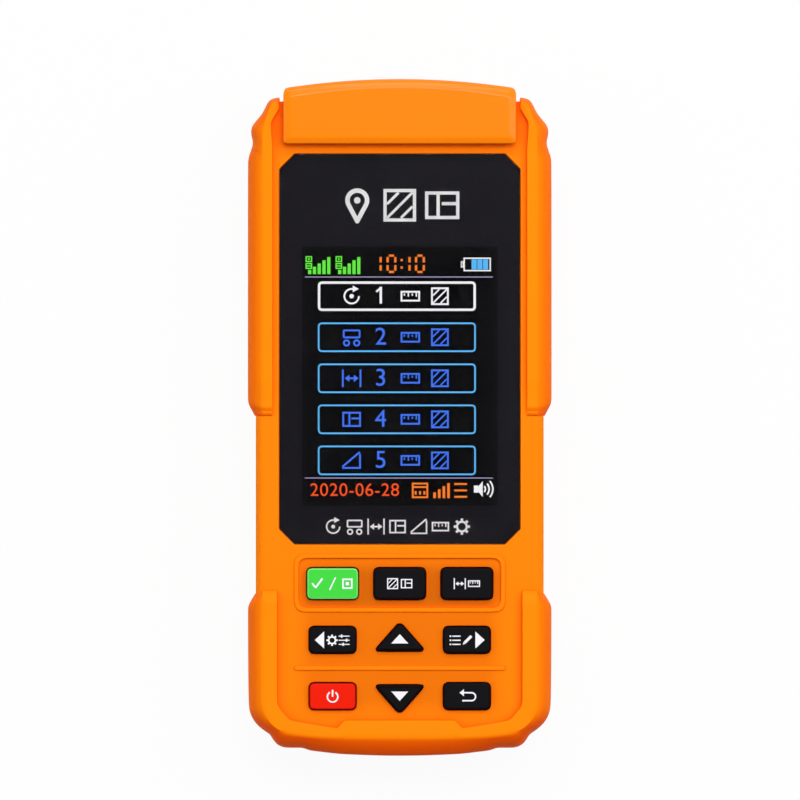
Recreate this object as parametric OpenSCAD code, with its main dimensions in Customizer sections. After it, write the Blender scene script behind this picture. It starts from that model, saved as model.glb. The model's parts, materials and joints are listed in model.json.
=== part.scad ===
// Handheld satellite meter for measuring land area.
// It lies on its back: +X is the right side, +Y the antenna end, +Z the face.

/* [Screen] */
// Width of the lit picture
view_w = 43.2; // [36:0.1:52]
// Length of the lit picture
view_l = 57.6; // [48:0.1:70]
// Dead border of the panel at each side
panel_side = 3.4; // [1.5:0.1:5]
// Dead border of the panel at the flex end
panel_head = 8.8; // [4:0.1:12]
// Dead border of the panel at the far end
panel_foot = 2.8; // [1.5:0.1:6]
// Thickness of the panel glass
panel_t = 1.4; // [0.8:0.1:2.5]
// Thickness of the backlight
backlight_t = 1.6; // [1:0.1:3]
// Height of the stand under the backlight
stand_h = 2.65; // [2:0.05:5]
// Width of the stand's walls
stand_w = 3; // [1.5:0.1:6]
// Thickness of the foam between panel and lens
foam_t = 0.3; // [0.2:0.05:0.8]
// Width of the flex tail
flex_w = 20; // [8:0.5:30]
// Thickness of the flex tail
flex_t = 0.3; // [0.2:0.05:0.6]

/* [Window] */
// Black border beside the picture
window_side = 5.75; // [4.5:0.05:8]
// Black border above the picture
window_head = 21.6; // [12:0.1:30]
// Black border below the picture
window_foot = 9.35; // [6:0.05:16]
// Cut corner of the window
window_cut = 3.5; // [1:0.1:5]
// Thickness of the lens
lens_t = 1.5; // [1:0.1:2.5]
// Depth of the lens below the face
lens_drop = 0.4; // [0.1:0.05:1]
// Clearance round the lens
lens_gap = 0.15; // [0.1:0.01:0.3]
// Thickness of the black print
mask_t = 0.15; // [0.1:0.01:0.3]
// Thickness of the lens tape
tape_t = 0.2; // [0.1:0.01:0.4]
// Thickness of the ledge that carries the lens
ledge_t = 1.2; // [0.8:0.1:2]
// Clear border between the print and the picture
view_gap = 0.6; // [0.2:0.1:1.5]

/* [Keypad] */
// Width of a key in the top row
key_w = 11.6; // [8:0.1:14]
// Length of a key in the top row
key_l = 7.1; // [5:0.05:9]
// Width of a key in the lower rows
small_key_w = 10.5; // [8:0.1:13]
// Length of a key in the lower rows
small_key_l = 6; // [5:0.1:8]
// Width of a triangular key
arrow_w = 11.4; // [8:0.1:13]
// Length of a triangular key
arrow_l = 6.5; // [5:0.1:8]
// How far a triangular key points out of its row
arrow_shift = 0.75; // [0:0.05:1]
// Distance between key columns
key_pitch = 15.2; // [14.6:0.1:16]
// Distance between key rows
row_pitch = 12.75; // [11.5:0.05:16]
// Window edge to the first key row
row_head = 8.85; // [8:0.05:14]
// Last key row to the bottom end
foot_l = 13.75; // [13.5:0.05:18]
// Corner radius of a key
key_r = 1.2; // [0.5:0.1:2]
// Height of a key above the face
key_rise = 1.1; // [0.8:0.1:2]
// Travel of a key
key_travel = 0.6; // [0.3:0.05:0.8]
// Clearance round a key
key_gap = 0.2; // [0.2:0.05:0.5]
// Lip that keeps a key behind the face
key_lip = 0.9; // [0.5:0.1:1.2]
// Radius of a key's plunger
plunger_r = 1.6; // [1:0.1:2]
// Thickness of a key's lip
lip_t = 0.95; // [0.8:0.05:1.2]
// Height of a dome switch
dome_h = 0.4; // [0.2:0.05:0.8]
// Radius of a dome switch
dome_r = 2; // [1.5:0.1:2.5]
// Thickness of the keypad mat
mat_t = 0.8; // [0.5:0.1:1.2]
// Width of the raised bead round the top row
bead_w = 1; // [0.6:0.1:1.5]
// Height of the raised beads
bead_h = 0.35; // [0.2:0.05:0.6]
// Depth of the floor inside the bead
key_sink = 0.3; // [0.1:0.05:0.5]

/* [Case] */
// Wall thickness of the shells
wall = 2.3; // [2:0.1:3]
// Thickness of the face
face_t = 2; // [1.6:0.1:2.6]
// Face strip between window and rail
face_side = 1.45; // [1:0.05:4]
// Width of the side rail's flat top
rail_w = 2.3; // [1.5:0.1:4]
// Width of the bottom rail's flat top
foot_rail_w = 3.4; // [2:0.1:4.5]
// Width of the sloping flank outside the rail
flank_w = 3.35; // [2.8:0.05:5]
// Thickness of the guards over the shells
guard_t = 3.9; // [3.6:0.1:4.6]
// Height of the rails above the face
rail_rise = 1.5; // [0.8:0.1:2.5]
// Depth of the flank below the rail
flank_h = 5.1; // [3:0.1:6]
// How far the waist lies inside the guards
waist_in = 1.85; // [1:0.05:2.5]
// Upper guard's end above the window's lower edge
guard_end = 29.1; // [15:0.1:40]
// Bottom guard's end below the first key row
foot_guard_end = 2.4; // [1:0.1:6]
// Chamfer along the waist's front edge
waist_cut = 1.2; // [0.5:0.1:1.6]
// Height of the rear shell's chamfer
back_cut_h = 3; // [1:0.1:3.2]
// Width of the rear shell's chamfer
back_cut = 2.2; // [1:0.1:2.4]
// Height of the guards' lower edge
guard_z = 3.5; // [3.4:0.1:6]
// Width of the shell seal
seal_w = 1; // [0.6:0.1:1.2]
// Depth of the shell seal
seal_h = 0.8; // [0.4:0.1:1.2]

/* [Antenna cap] */
// Length of the cap
cap_l = 14.45; // [13:0.05:20]
// Face strip between cap and window
cap_gap = 2.4; // [1.5:0.1:5]
// Width of the cap
cap_w = 52.4; // [44:0.1:53]
// Height of the cap above the face
cap_rise = 3.6; // [2.8:0.1:6]
// Wall thickness of the cap
cap_wall = 2; // [1.5:0.1:2.4]
// How far the cap's end bows out
cap_bow = 2.05; // [0.5:0.05:2.4]
// How far the cap reaches past the shells
cap_over = 5.05; // [4:0.05:6]
// Height of the cap's lower edge at the end
cap_z = 6; // [3.5:0.1:10]
// Rounding of the cap's top edge
cap_round = 1.8; // [1:0.1:2]
// Radius of the cap's pegs
peg_r = 1.5; // [1:0.1:2]

/* [Power] */
// Width of the battery pack
pack_w = 38; // [30:0.5:38.5]
// Length of the battery pack
pack_l = 54; // [40:0.5:56]
// Thickness of the battery pack
pack_t = 10.8; // [8:0.1:14]
// Clearance round the battery pack
pack_gap = 0.3; // [0.2:0.05:0.6]
// Thickness of the battery door
door_t = 2; // [1.6:0.1:2.6]
// Depth of the door below the back
door_drop = 0.4; // [0.2:0.05:0.8]
// Width of the door's side tongues
tongue_w = 1.2; // [0.8:0.1:1.6]
// Clearance round the door
door_gap = 0.3; // [0.2:0.05:0.4]
// Thickness of the door's side tongues
tongue_t = 1; // [0.8:0.1:1.2]
// How far the door laps past the bay at each side
door_side = 1.5; // [1:0.1:1.6]
// How far the door laps past the bay at its inner end
door_lap = 3; // [2:0.1:4]
// Space between the door and the bottom end
door_end = 6.5; // [6:0.1:8]
// Width of a grip groove in the door
grip_w = 1.2; // [0.8:0.1:1.6]
// Depth of a grip groove in the door
grip_t = 0.5; // [0.2:0.1:0.8]
// Wall thickness of the battery bay
bay_t = 1.2; // [1:0.1:2]
// Radius of a battery pin
pin_r = 1; // [0.6:0.1:1.4]
// Distance between battery pins
pin_pitch = 5; // [3.5:0.1:8]

/* [Electronics] */
// Thickness of the main board
board_t = 1.6; // [1:0.1:2]
// Space under the main board
board_gap = 1.5; // [1.5:0.1:3]
// Width of the main board
board_w = 48; // [46:0.1:48.5]
// Size of the processor chip
processor_w = 14; // [8:0.5:18]
// Width of the memory chip
memory_w = 6; // [4:0.5:8]
// Length of the memory chip
memory_l = 8; // [5:0.5:12]
// Thickness of the chips
chip_t = 1.3; // [0.8:0.1:1.4]
// Width of the satellite receiver
gnss_w = 16; // [10:0.5:20]
// Length of the satellite receiver
gnss_l = 12; // [8:0.5:16]
// Thickness of the satellite receiver
gnss_t = 2.4; // [1.5:0.1:3]
// Size of the patch antenna
patch_w = 20; // [15:0.5:20]
// Thickness of the patch antenna
patch_t = 4; // [2:0.1:4.2]
// Radius of the buzzer
buzzer_r = 6; // [4:0.1:7]
// Height of the buzzer
buzzer_h = 5; // [3:0.1:8]
// Width of the socket
socket_w = 7.5; // [6:0.1:9]
// Height of the socket
socket_h = 2.7; // [2:0.1:3.2]
// Depth of the socket
socket_l = 5; // [4:0.1:5.4]
// Depth of the plug recess in front of the socket
socket_in = 6.5; // [5:0.1:6.8]
// Width of the plug recess
port_w = 11.5; // [10:0.1:13]
// Height of the plug recess
port_h = 6; // [5:0.1:6.2]
// Thickness of the port cover
cover_t = 1.3; // [1:0.1:1.6]
// Clearance round the port cover
cover_gap = 0.3; // [0.2:0.05:0.4]
// Depth of the port cover below the bottom end
cover_drop = 0.55; // [0.5:0.05:0.8]
// Length of the cover's pivots
pivot_l = 0.9; // [0.6:0.1:1.2]
// Length of the cover's lug
lug_l = 0.5; // [0.4:0.1:2]
// Running clearance of the cover's pivots
pivot_gap = 0.08; // [0.04:0.01:0.1]

/* [Fasteners] */
// Radius of a screw boss
boss_r = 2.8; // [2.6:0.1:3]
// Radius of a case screw's shank
screw_r = 0.95; // [0.8:0.05:1.2]
// Radius of a case screw's head
head_r = 1.9; // [1.6:0.1:2.1]
// Height of a screw head
head_h = 1.4; // [1:0.1:1.4]
// Depth of a case screw's head below the back
head_depth = 7.5; // [3:0.1:9]
// Outer radius of a threaded insert
insert_r = 1.6; // [1.5:0.05:2]
// Length of a threaded insert
insert_l = 5; // [3:0.1:6]
// Radius of a board post
post_r = 2; // [1.8:0.1:2.2]
// Radius of a board screw's shank
board_screw_r = 0.8; // [0.6:0.05:1]
// Radius of a board screw's head
board_head_r = 1.6; // [1.2:0.1:1.8]
// Grip of a board screw in its post
board_grip = 2.5; // [1.5:0.1:3]
// Clearance round the screws
screw_gap = 0.1; // [0.05:0.01:0.2]

/* [Hidden] */
$fn = 48;
eps = 0.01;
past = 5; // how far a cutter runs past what it cuts
near = 0.1; // working gap between parts that stay close
clear = 0.6; // room round a part inside the case

// Plan, from the antenna end down to the bottom end
window_w = view_w + 2 * window_side;
window_l = window_head + view_l + window_foot;
body_w = window_w + 2 * (face_side + rail_w + flank_w);
body_l = cap_l + cap_gap + window_l + row_head + 2 * row_pitch + foot_l;
top_y = body_l / 2;
foot_y = -body_l / 2;
cap_foot_y = top_y - cap_l;
window_top = cap_foot_y - cap_gap;
window_bottom = window_top - window_l;
view_top = window_top - window_head;
view_bottom = view_top - view_l;
panel_w = view_w + 2 * panel_side;
panel_top = view_top + panel_head;
panel_bottom = view_bottom - panel_foot;
row_y = [for (k = [0:2]) window_bottom - row_head - k * row_pitch];
waist_top = window_bottom + guard_end;
waist_foot = row_y[0] - foot_guard_end;
case_top = top_y - cap_over;

// Widths, from the outside in
side_x = body_w / 2;
rail_out = side_x - flank_w;
rail_in = rail_out - rail_w;
foot_rail_in = rail_out - foot_rail_w;
seat_x = side_x - guard_t;
waist_x = side_x - waist_in;
horn_x = cap_w / 2 + 1.1;

// Heights, from the back up to the face
door_top = door_drop + door_t;
pack_z = door_top + pack_gap;
bay_top = pack_z + pack_t + pack_gap;
parting_z = bay_top + bay_t;
board_z = parting_z + board_gap;
board_top = board_z + board_t;
backlight_z = board_top + stand_h;
panel_z = backlight_z + backlight_t;
foam_z = panel_z + panel_t;
mask_z = foam_z + foam_t;
lens_z = mask_z + mask_t;
face_z = lens_z + lens_t + lens_drop;
tape_z = mask_z - tape_t;
ledge_z = tape_z - ledge_t;
face_under = face_z - face_t;
rail_z = face_z + rail_rise;
cap_top_z = face_z + cap_rise;
flank_z = rail_z - flank_h;
key_z = face_z + key_rise;
lip_top = face_under - 1.5 * near;
lip_z = lip_top - lip_t;
plunger_z = board_top + dome_h + key_travel + near;

// Battery bay and door
bay_w = pack_w + 2 * pack_gap;
bay_l = pack_l + 2 * pack_gap;
bay_y = waist_top + 5 - bay_l;
door_head = bay_y + bay_l + door_lap;
door_foot = foot_y + door_end;
door_w = bay_w + 2 * door_side;
slot_top = door_top + door_gap;
slot_wall = 2;
pad_z = slot_top + 0.8 * slot_wall;
pad_x = door_w / 2 + tongue_w + slot_wall;
grip_count = 6;

// Port at the bottom end
port_z = board_top + socket_h / 2;
port_x = port_w / 2;
socket_y = foot_y + socket_in;
cover_lap = 1.5;
cover_w = port_w + 2 * cover_lap;
cover_y = foot_y + cover_drop;
cover_axis_y = cover_y + cover_t / 2;
cover_axis_z = port_z - port_h / 2 - 0.9 * cover_lap;
cover_top = port_z + port_h / 2 + near / 2;
pivot_r = cover_t / 2;

// Fasteners: case screws and board posts, right half
case_spots = [
    [cap_w / 2 - 1.7, case_top - 5.7],
    [window_w / 2 + 0.05, panel_bottom - 4.9],
    [seat_x - 3.55, row_y[2] - 1]
];
board_spots = [
    [patch_w / 2 + 7.5, panel_top + 6.9],
    [key_pitch / 2 + 0.15, (row_y[1] + row_y[2]) / 2 + 0.15]
];
insert_z = parting_z + 4 * near;

// Places of smaller parts
patch_y = panel_top + 3 * clear + patch_w / 2;
buzzer_spot = [12, panel_top - 12];
processor_spot = [-8, panel_top - 12];
memory_spot = [-8, panel_top - 26];
peg_spot = [cap_w / 2 - 6.2, case_top - 4.2];
pin_y = bay_y + bay_l - 6;
panel_plan = [
    [-panel_w / 2, panel_bottom], [panel_w / 2, panel_bottom],
    [panel_w / 2, panel_top], [-panel_w / 2, panel_top]
];

steps = 4; // straight pieces in one rounded corner
arch_steps = 5; // straight pieces in half of the bottom arch

// Outlines: each corner is [x, y, reach of its rounding]
function unit(v) = v / norm(v);
function flip(p) = [-p[0], p[1]];
function back(list) = [for (k = [len(list) - 1:-1:0]) list[k]];
function plan(p) = [p[0], p[1]];
function bend(a, b, c) = let (
    to_a = plan(a) - plan(b),
    to_c = plan(c) - plan(b),
    reach = min(b[2], 0.45 * norm(to_a), 0.45 * norm(to_c)),
    p = plan(b) + reach * unit(to_a),
    q = plan(b) + reach * unit(to_c)
) [for (k = [0:steps]) let (t = k / steps) (1 - t) * (1 - t) * p + 2 * t * (1 - t) * plan(b) + t * t * q];
function run(c) = concat(
    [plan(c[0])],
    [for (k = [1:len(c) - 2]) each bend(c[k - 1], c[k], c[k + 1])],
    [plan(c[len(c) - 1])]
);
function loop(c) = let (n = len(c))
    [for (k = [0:n - 1]) each bend(c[(k + n - 1) % n], c[k], c[(k + 1) % n])];
function inset(p, d) = let (n = len(p)) [
    for (k = [0:n - 1])
        let (
            here = plan(p[k]),
            u = unit(here - plan(p[(k + n - 1) % n])),
            v = unit(plan(p[(k + 1) % n]) - here),
            moved = here + d * [-u[1] - v[1], u[0] + v[0]] / (1 + u * v)
        )
        len(p[k]) == 3 ? [moved[0], moved[1], p[k][2]] : moved
];
function arch(x, y, bow) = [
    for (k = [1:arch_steps]) let (t = 1 - k / arch_steps) [x * t, y + bow * t * t]
];
function block(w, y0, y1, r) = loop([[w / 2, y0, r], [w / 2, y1, r], [-w / 2, y1, r], [-w / 2, y0, r]]);
function cut_block(w, y0, y1, c) = [
    [w / 2 - c, y0], [w / 2, y0 + c], [w / 2, y1 - c], [w / 2 - c, y1],
    [c - w / 2, y1], [-w / 2, y1 - c], [-w / 2, y0 + c], [c - w / 2, y0]
];

// Upper guard, right side, from the waist to the horn
upper_edge = run([
    [waist_x + 0.25, waist_top], [side_x, waist_top + 2.95, 1], [side_x, top_y - 17.2, 2.2],
    [side_x - 1.4, top_y - 14.85, 1.6], [side_x - 0.35, top_y - 11.15, 1.8],
    [side_x - 3.45, top_y - 7.55, 1.2], [side_x - 4.2, top_y - 3.9, 1.4], [horn_x, top_y - 4.15]
]);
upper_rail = run([
    [rail_out, waist_top], [rail_out, waist_top + 2.95, 1], [rail_out, top_y - 19, 2.2],
    [rail_out, top_y - 14.85, 1.6], [rail_out - 0.1, top_y - 11.4, 1.6],
    [rail_out - 1.1, top_y - 7.8, 1.2], [rail_out - 2.2, top_y - 5.2, 0.8], [horn_x, top_y - 4.95]
]);
upper_lip = run([
    [rail_in, waist_top], [rail_in, waist_top + 2.95, 1], [rail_in, top_y - 19, 2.2],
    [rail_in, top_y - 14.85, 1.6], [rail_in + 0.3, top_y - 11.6, 1.2],
    [rail_in + 0.35, top_y - 9.7, 0.7], [horn_x + 0.1, top_y - 6.95, 0.4], [horn_x, top_y - 6.2]
]);
head_corners = [
    [seat_x, top_y - 14.85, 1.6], [seat_x - 0.35, top_y - 11.15, 1.6],
    [seat_x - 1.25, top_y - 7.9, 1.2], [seat_x - 2.25, case_top, 0.8]
];
upper_seat = run(concat(
    [[seat_x, waist_top], [seat_x, waist_top + 2.95, 1], [seat_x, top_y - 20, 2.2]],
    head_corners,
    [[horn_x, case_top]]
));

// Bottom guard, right side, from the waist to the middle of the bottom end
foot_edge = concat(run([
    [waist_x + 0.25, waist_foot], [side_x, waist_foot - 2.7, 1], [side_x, foot_y + 7.75, 5.2],
    [side_x - 5.15, foot_y + 4.55, 0.8], [side_x - 6.3, foot_y + 2.25, 2],
    [side_x - 12.4, foot_y + 2, 0.8], [side_x - 14.05, foot_y + 1.36, 0.8],
    [side_x - 19.05, foot_y + 0.77, 0.6], [side_x - 21.25, foot_y + 0.56]
]), arch(side_x - 21.25, foot_y, 0.56));
foot_rail = concat(run([
    [rail_out, waist_foot], [rail_out, waist_foot - 2.7, 1], [rail_out, foot_y + 9.9, 3],
    [rail_out - 2.3, foot_y + 7, 1.2], [rail_out - 5.2, foot_y + 5.3, 1.2],
    [rail_out - 10, foot_y + 4.6, 0.8], [rail_out - 12.5, foot_y + 4.43, 0.8],
    [rail_out - 16.1, foot_y + 4.33, 0.6], [rail_out - 18.2, foot_y + 4.3]
]), arch(rail_out - 18.2, foot_y + 4.2, 0.1));
foot_lip = concat(run([
    [foot_rail_in, waist_foot], [foot_rail_in, waist_foot - 2.7, 1], [foot_rail_in, foot_y + 11.65, 1.2],
    [foot_rail_in - 2.9, foot_y + 8.35, 0.8], [foot_rail_in - 5.4, foot_y + 7.93, 0.8],
    [foot_rail_in - 8.7, foot_y + 7.38, 0.8], [foot_rail_in - 10.9, foot_y + 7.01, 0.6],
    [foot_rail_in - 13.6, foot_y + 6.55, 0.4], [foot_rail_in - 15.2, foot_y + 8.4]
]), arch(foot_rail_in - 15.2, foot_y + 8.4, 0));
foot_corners = [
    [seat_x, foot_y + 12, 3.2], [seat_x - 2.95, foot_y + 7.7, 1.1],
    [seat_x - 5.1, foot_y + 6.1, 1.1], [seat_x - 10, foot_y + 5.2, 0.8]
];
foot_seat = concat(run(concat(
    [[seat_x, waist_foot], [seat_x, waist_foot - 2.7, 1]],
    foot_corners,
    [[seat_x - 12.5, foot_y + 5, 0.8], [seat_x - 15.5, foot_y + 4.91, 0.6], [seat_x - 17.65, foot_y + 4.85]]
)), arch(seat_x - 17.65, foot_y + 4.7, 0.15));

// The shells: seats under the guards, and the waist between them
case_half = concat(back(foot_seat), [[waist_x, waist_foot], [waist_x, waist_top]], upper_seat);
case_plan = concat(case_half, [for (k = [len(case_half) - 1:-1:1]) flip(case_half[k])]);
case_corners = concat(
    back(foot_corners),
    [[seat_x, waist_foot, 0.4], [waist_x, waist_foot, 0.4]],
    [[waist_x, waist_top, 0.4], [seat_x, waist_top, 0.4]],
    head_corners
);
case_loop = concat(case_corners, [for (c = back(case_corners)) [-c[0], c[1], c[2]]]);
function case_inside(d) = loop(inset(case_loop, d));
back_half = [
    [side_x - 13.5, foot_y + 2.6, 1], [side_x - 8, foot_y + 4, 2], [side_x - 5, foot_y + 6.3, 2],
    [waist_x, foot_y + 12.5, 4], [waist_x, top_y - 21, 3], [waist_x - 1.3, top_y - 13, 2],
    [seat_x - 2.25, case_top, 0.6]
];
back_plan = loop(concat([[0, foot_y + 1, 16]], back_half, [for (c = back(back_half)) [-c[0], c[1], c[2]]]));
window_plan = cut_block(window_w, window_bottom, window_top, window_cut);
lens_plan = inset(window_plan, lens_gap);

// Keys: outline and place of the plunger
function wide_key(x, y) = [for (p = block(key_w, -key_l / 2, key_l / 2, key_r)) p + [x, y]];
function side_key(x, y) =
    [for (p = block(small_key_w, -small_key_l / 2, small_key_l / 2, key_r)) p + [x, y]];
function arrow_key(y, s) = let (
    c = [[arrow_w / 2, -arrow_l / 2, key_r], [0, arrow_l / 2, key_r], [-arrow_w / 2, -arrow_l / 2, key_r]],
    t = loop(c)
) s > 0 ? [for (p = t) p + [0, y]] : [for (p = back(t)) [p[0], y - p[1]]];
arrow_up_y = row_y[1] + arrow_shift;
arrow_down_y = row_y[2] - arrow_shift;
key_spots = [
    [-key_pitch, row_y[0]], [0, row_y[0]], [key_pitch, row_y[0]],
    [-key_pitch, row_y[1]], [0, arrow_up_y - arrow_l / 6], [key_pitch, row_y[1]],
    [-key_pitch, row_y[2]], [0, arrow_down_y + arrow_l / 6], [key_pitch, row_y[2]]
];
key_plans = [
    wide_key(-key_pitch, row_y[0]), wide_key(0, row_y[0]), wide_key(key_pitch, row_y[0]),
    side_key(-key_pitch, row_y[1]), arrow_key(arrow_up_y, 1), side_key(key_pitch, row_y[1]),
    side_key(-key_pitch, row_y[2]), arrow_key(arrow_down_y, -1), side_key(key_pitch, row_y[2])
];
bead_w_all = 2 * key_pitch + key_w + 5.8;
bead_y0 = row_y[0] - key_l / 2 - 2.9;
bead_y1 = row_y[0] + key_l / 2 + 3.2;
divider_y = (row_y[1] + row_y[2]) / 2;

// Prism between two heights
module slab(points, z0, z1) {
    translate([0, 0, z0])
        linear_extrude(z1 - z0)
            polygon(points);
}

module box(x0, x1, y0, y1, z0, z1) {
    translate([x0, y0, z0])
        cube([x1 - x0, y1 - y0, z1 - z0]);
}

module post(spot, r, z0, z1) {
    translate([spot[0], spot[1], z0])
        cylinder(r = r, h = z1 - z0);
}

// Copies at each spot and its mirror image
module both_sides(spots) {
    for (spot = spots)
        for (s = [-1, 1])
            translate([s * spot[0], spot[1], 0])
                children();
}

// One section of a guard, from the foot of its lip round the outside to its seat
function guard_section(lip, rail, edge, seat) = [
    [lip[0], lip[1], face_z],
    [lip[0], lip[1], rail_z],
    [rail[0], rail[1], rail_z],
    [each (0.38 * rail + 0.62 * edge), rail_z - 0.28 * flank_h],
    [edge[0], edge[1], flank_z],
    [edge[0], edge[1], guard_z + 4],
    [each (0.45 * edge + 0.55 * seat), guard_z],
    [seat[0], seat[1], guard_z],
    [seat[0], seat[1], face_z]
];

// Skin over a row of sections with the same number of points
module sweep(sections) {
    n = len(sections);
    m = len(sections[0]);
    polyhedron(
        points = [for (s = sections) each s],
        faces = concat(
            [[for (j = [0:m - 1]) j]],
            [[for (j = [m - 1:-1:0]) (n - 1) * m + j]],
            [for (i = [0:n - 2]) for (j = [0:m - 1])
                [i * m + j, (i + 1) * m + j, (i + 1) * m + (j + 1) % m]],
            [for (i = [0:n - 2]) for (j = [0:m - 1])
                [i * m + j, (i + 1) * m + (j + 1) % m, i * m + (j + 1) % m]]
        )
    );
}

module side_guard() {
    sweep([for (k = [0:len(upper_edge) - 1])
        guard_section(upper_lip[k], upper_rail[k], upper_edge[k], upper_seat[k])]);
}

module guard_right() {
    color("orange")
        side_guard();
}

module guard_left() {
    color("orange")
        mirror([1, 0, 0])
            side_guard();
}

module guard_bottom() {
    right = [for (k = [0:len(foot_edge) - 1])
        guard_section(foot_lip[k], foot_rail[k], foot_edge[k], foot_seat[k])];
    left = [for (k = [len(right) - 2:-1:0]) [for (p = right[k]) [-p[0], p[1], p[2]]]];
    color("orange")
        difference() {
            sweep(back(concat(right, left)));
            port_cut();
            cover_pocket();
        }
}

// Recess that a plug goes into
module port_cut() {
    box(-port_x, port_x, foot_y - past, foot_y + 8, port_z - port_h / 2, port_z + port_h / 2);
}

// Pocket for the port cover, with the bores for its pivots
module cover_pocket() {
    x = cover_w / 2 + cover_gap;
    box(-x, x, foot_y - past, cover_y + cover_t + cover_gap,
        cover_axis_z - pivot_r - cover_gap, cover_top + cover_gap);
    translate([-x - pivot_l - cover_gap, cover_axis_y, cover_axis_z])
        rotate([0, 90, 0])
            cylinder(r = pivot_r + pivot_gap, h = 2 * (x + pivot_l + cover_gap));
}

module port_cover() {
    pivot_x = cover_w / 2 + cover_gap + pivot_l;
    lug_x = port_x - 2 * cover_gap;
    color("dimgray") {
        box(-cover_w / 2, cover_w / 2, cover_y, cover_y + cover_t, cover_axis_z, cover_top);
        translate([-pivot_x, cover_axis_y, cover_axis_z])
            rotate([0, 90, 0])
                cylinder(r = pivot_r, h = 2 * pivot_x);
        box(-lug_x, lug_x, cover_y + cover_t - eps, cover_y + cover_t + lug_l,
            port_z - port_h / 2 + 3 * cover_gap, port_z + port_h / 2 - 5 * cover_gap);
    }
}

// Raised bead round the top key row, and the straight one between the lower rows
module beads() {
    difference() {
        slab(block(bead_w_all, bead_y0, bead_y1, 2.6), face_z - eps, face_z + bead_h);
        slab(block(bead_w_all - 2 * bead_w, bead_y0 + bead_w, bead_y1 - bead_w, 2),
            face_z - past, face_z + past);
    }
    slab(block(bead_w_all, divider_y - bead_w / 2, divider_y + bead_w / 2, bead_w / 2 - eps),
        face_z - eps, face_z + bead_h);
}

module front_shell() {
    lcd_gap = 0.3;
    color("darkorange")
        difference() {
            union() {
                difference() {
                    slab(case_plan, parting_z, face_z);
                    slab(case_inside(wall), parting_z - past, face_under);
                }
                intersection() {
                    slab(inset(window_plan, -2), ledge_z, face_under + eps);
                    slab(case_plan, parting_z, face_z);
                }
                both_sides(case_spots)
                    post([0, 0], boss_r, parting_z, face_under + eps);
                both_sides([board_spots[0]])
                    post([0, 0], post_r, board_top, ledge_z + eps);
                both_sides([board_spots[1]])
                    post([0, 0], post_r, board_top, face_under + eps);
                beads();
            }
            slab(window_plan, tape_z, face_z + past);
            box(-panel_w / 2 - lcd_gap, panel_w / 2 + lcd_gap,
                panel_bottom - lcd_gap, panel_top + 3 * flex_t, ledge_z - past, face_z);
            slab(block(bead_w_all - 2 * bead_w, bead_y0 + bead_w, bead_y1 - bead_w, 2),
                face_z - key_sink, face_z + past);
            for (k = key_plans)
                slab(inset(k, -key_gap), face_under - past, face_z + past);
            both_sides(case_spots) {
                post([0, 0], insert_r, parting_z - past, insert_z + insert_l);
                post([0, 0], screw_r + screw_gap, parting_z - past, insert_z + insert_l + 1);
            }
            both_sides(board_spots)
                post([0, 0], board_screw_r + screw_gap, board_top - past, board_top + board_grip + clear);
            both_sides([peg_spot])
                post([0, 0], peg_r + screw_gap, face_under - past, face_z + past);
            for (s = [-1, 1])
                translate([s * waist_x, (waist_top + waist_foot) / 2, face_z])
                    rotate([0, 45, 0])
                        cube([sqrt(2) * waist_cut, waist_top - waist_foot, sqrt(2) * waist_cut], center = true);
            port_cut();
        }
}

module rear_shell() {
    floor_t = wall;
    bay_x = bay_w / 2;
    color("darkorange")
        difference() {
            union() {
                difference() {
                    union() {
                        hull() {
                            slab(inset(back_plan, back_cut), 0, eps);
                            slab(back_plan, back_cut_h, guard_z);
                        }
                        slab(case_plan, guard_z - eps, parting_z);
                    }
                    slab(case_inside(wall), floor_t, parting_z + past);
                }
                box(-bay_x - bay_t, bay_x + bay_t, bay_y - bay_t, bay_y + bay_l + bay_t, eps, parting_z);
                box(-pad_x, pad_x, door_foot - clear, door_head + slot_wall + clear, eps, pad_z);
                both_sides(case_spots)
                    post([0, 0], boss_r, floor_t - eps, parting_z);
            }
            box(-bay_x, bay_x, bay_y, bay_y + bay_l, -past, bay_top);
            door_slot();
            both_sides(case_spots) {
                post([0, 0], head_r + 2 * screw_gap, -past, head_depth);
                post([0, 0], screw_r + screw_gap, -past, parting_z + past);
            }
            for (k = [-1:1])
                translate([k * pin_pitch, pin_y, bay_top - past])
                    cylinder(r = pin_r + door_gap, h = 2 * past);
            seal_ring();
            sound_slots();
        }
}

// Slot that the battery door slides in, open at the bottom end
module door_slot() {
    x = door_w / 2 + door_gap;
    lip_h = slot_top - tongue_t - 2 * door_gap;
    box(-x, x, foot_y - past, door_head + door_gap, -past, slot_top);
    box(-x - tongue_w, x + tongue_w, foot_y - past, door_head + door_gap, lip_h, slot_top);
}

module battery_door() {
    x = door_w / 2;
    color("darkorange")
        difference() {
            union() {
                box(-x, x, door_foot, door_head, door_drop, door_top);
                box(-x - tongue_w, x + tongue_w, door_foot, door_head, door_top - tongue_t, door_top);
            }
            for (k = [0:grip_count - 1])
                translate([-x / 2, door_foot + 5 * grip_w + 2 * grip_w * k, door_drop - past])
                    cube([x, grip_w, past + grip_t]);
        }
}

// Slots over the buzzer
module sound_slots() {
    slot_w = buzzer_r / 5;
    for (k = [-2:2])
        translate([buzzer_spot[0] + 2 * slot_w * k - slot_w / 2, buzzer_spot[1] - buzzer_r, -past])
            cube([slot_w, 2 * buzzer_r, 2 * past]);
}

module seal_ring() {
    side = (wall - seal_w) / 2;
    difference() {
        slab(case_inside(side), parting_z - seal_h, parting_z);
        slab(case_inside(side + seal_w), parting_z - past, parting_z + past);
    }
}

module shell_seal() {
    color("dimgray")
        seal_ring();
}

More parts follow.
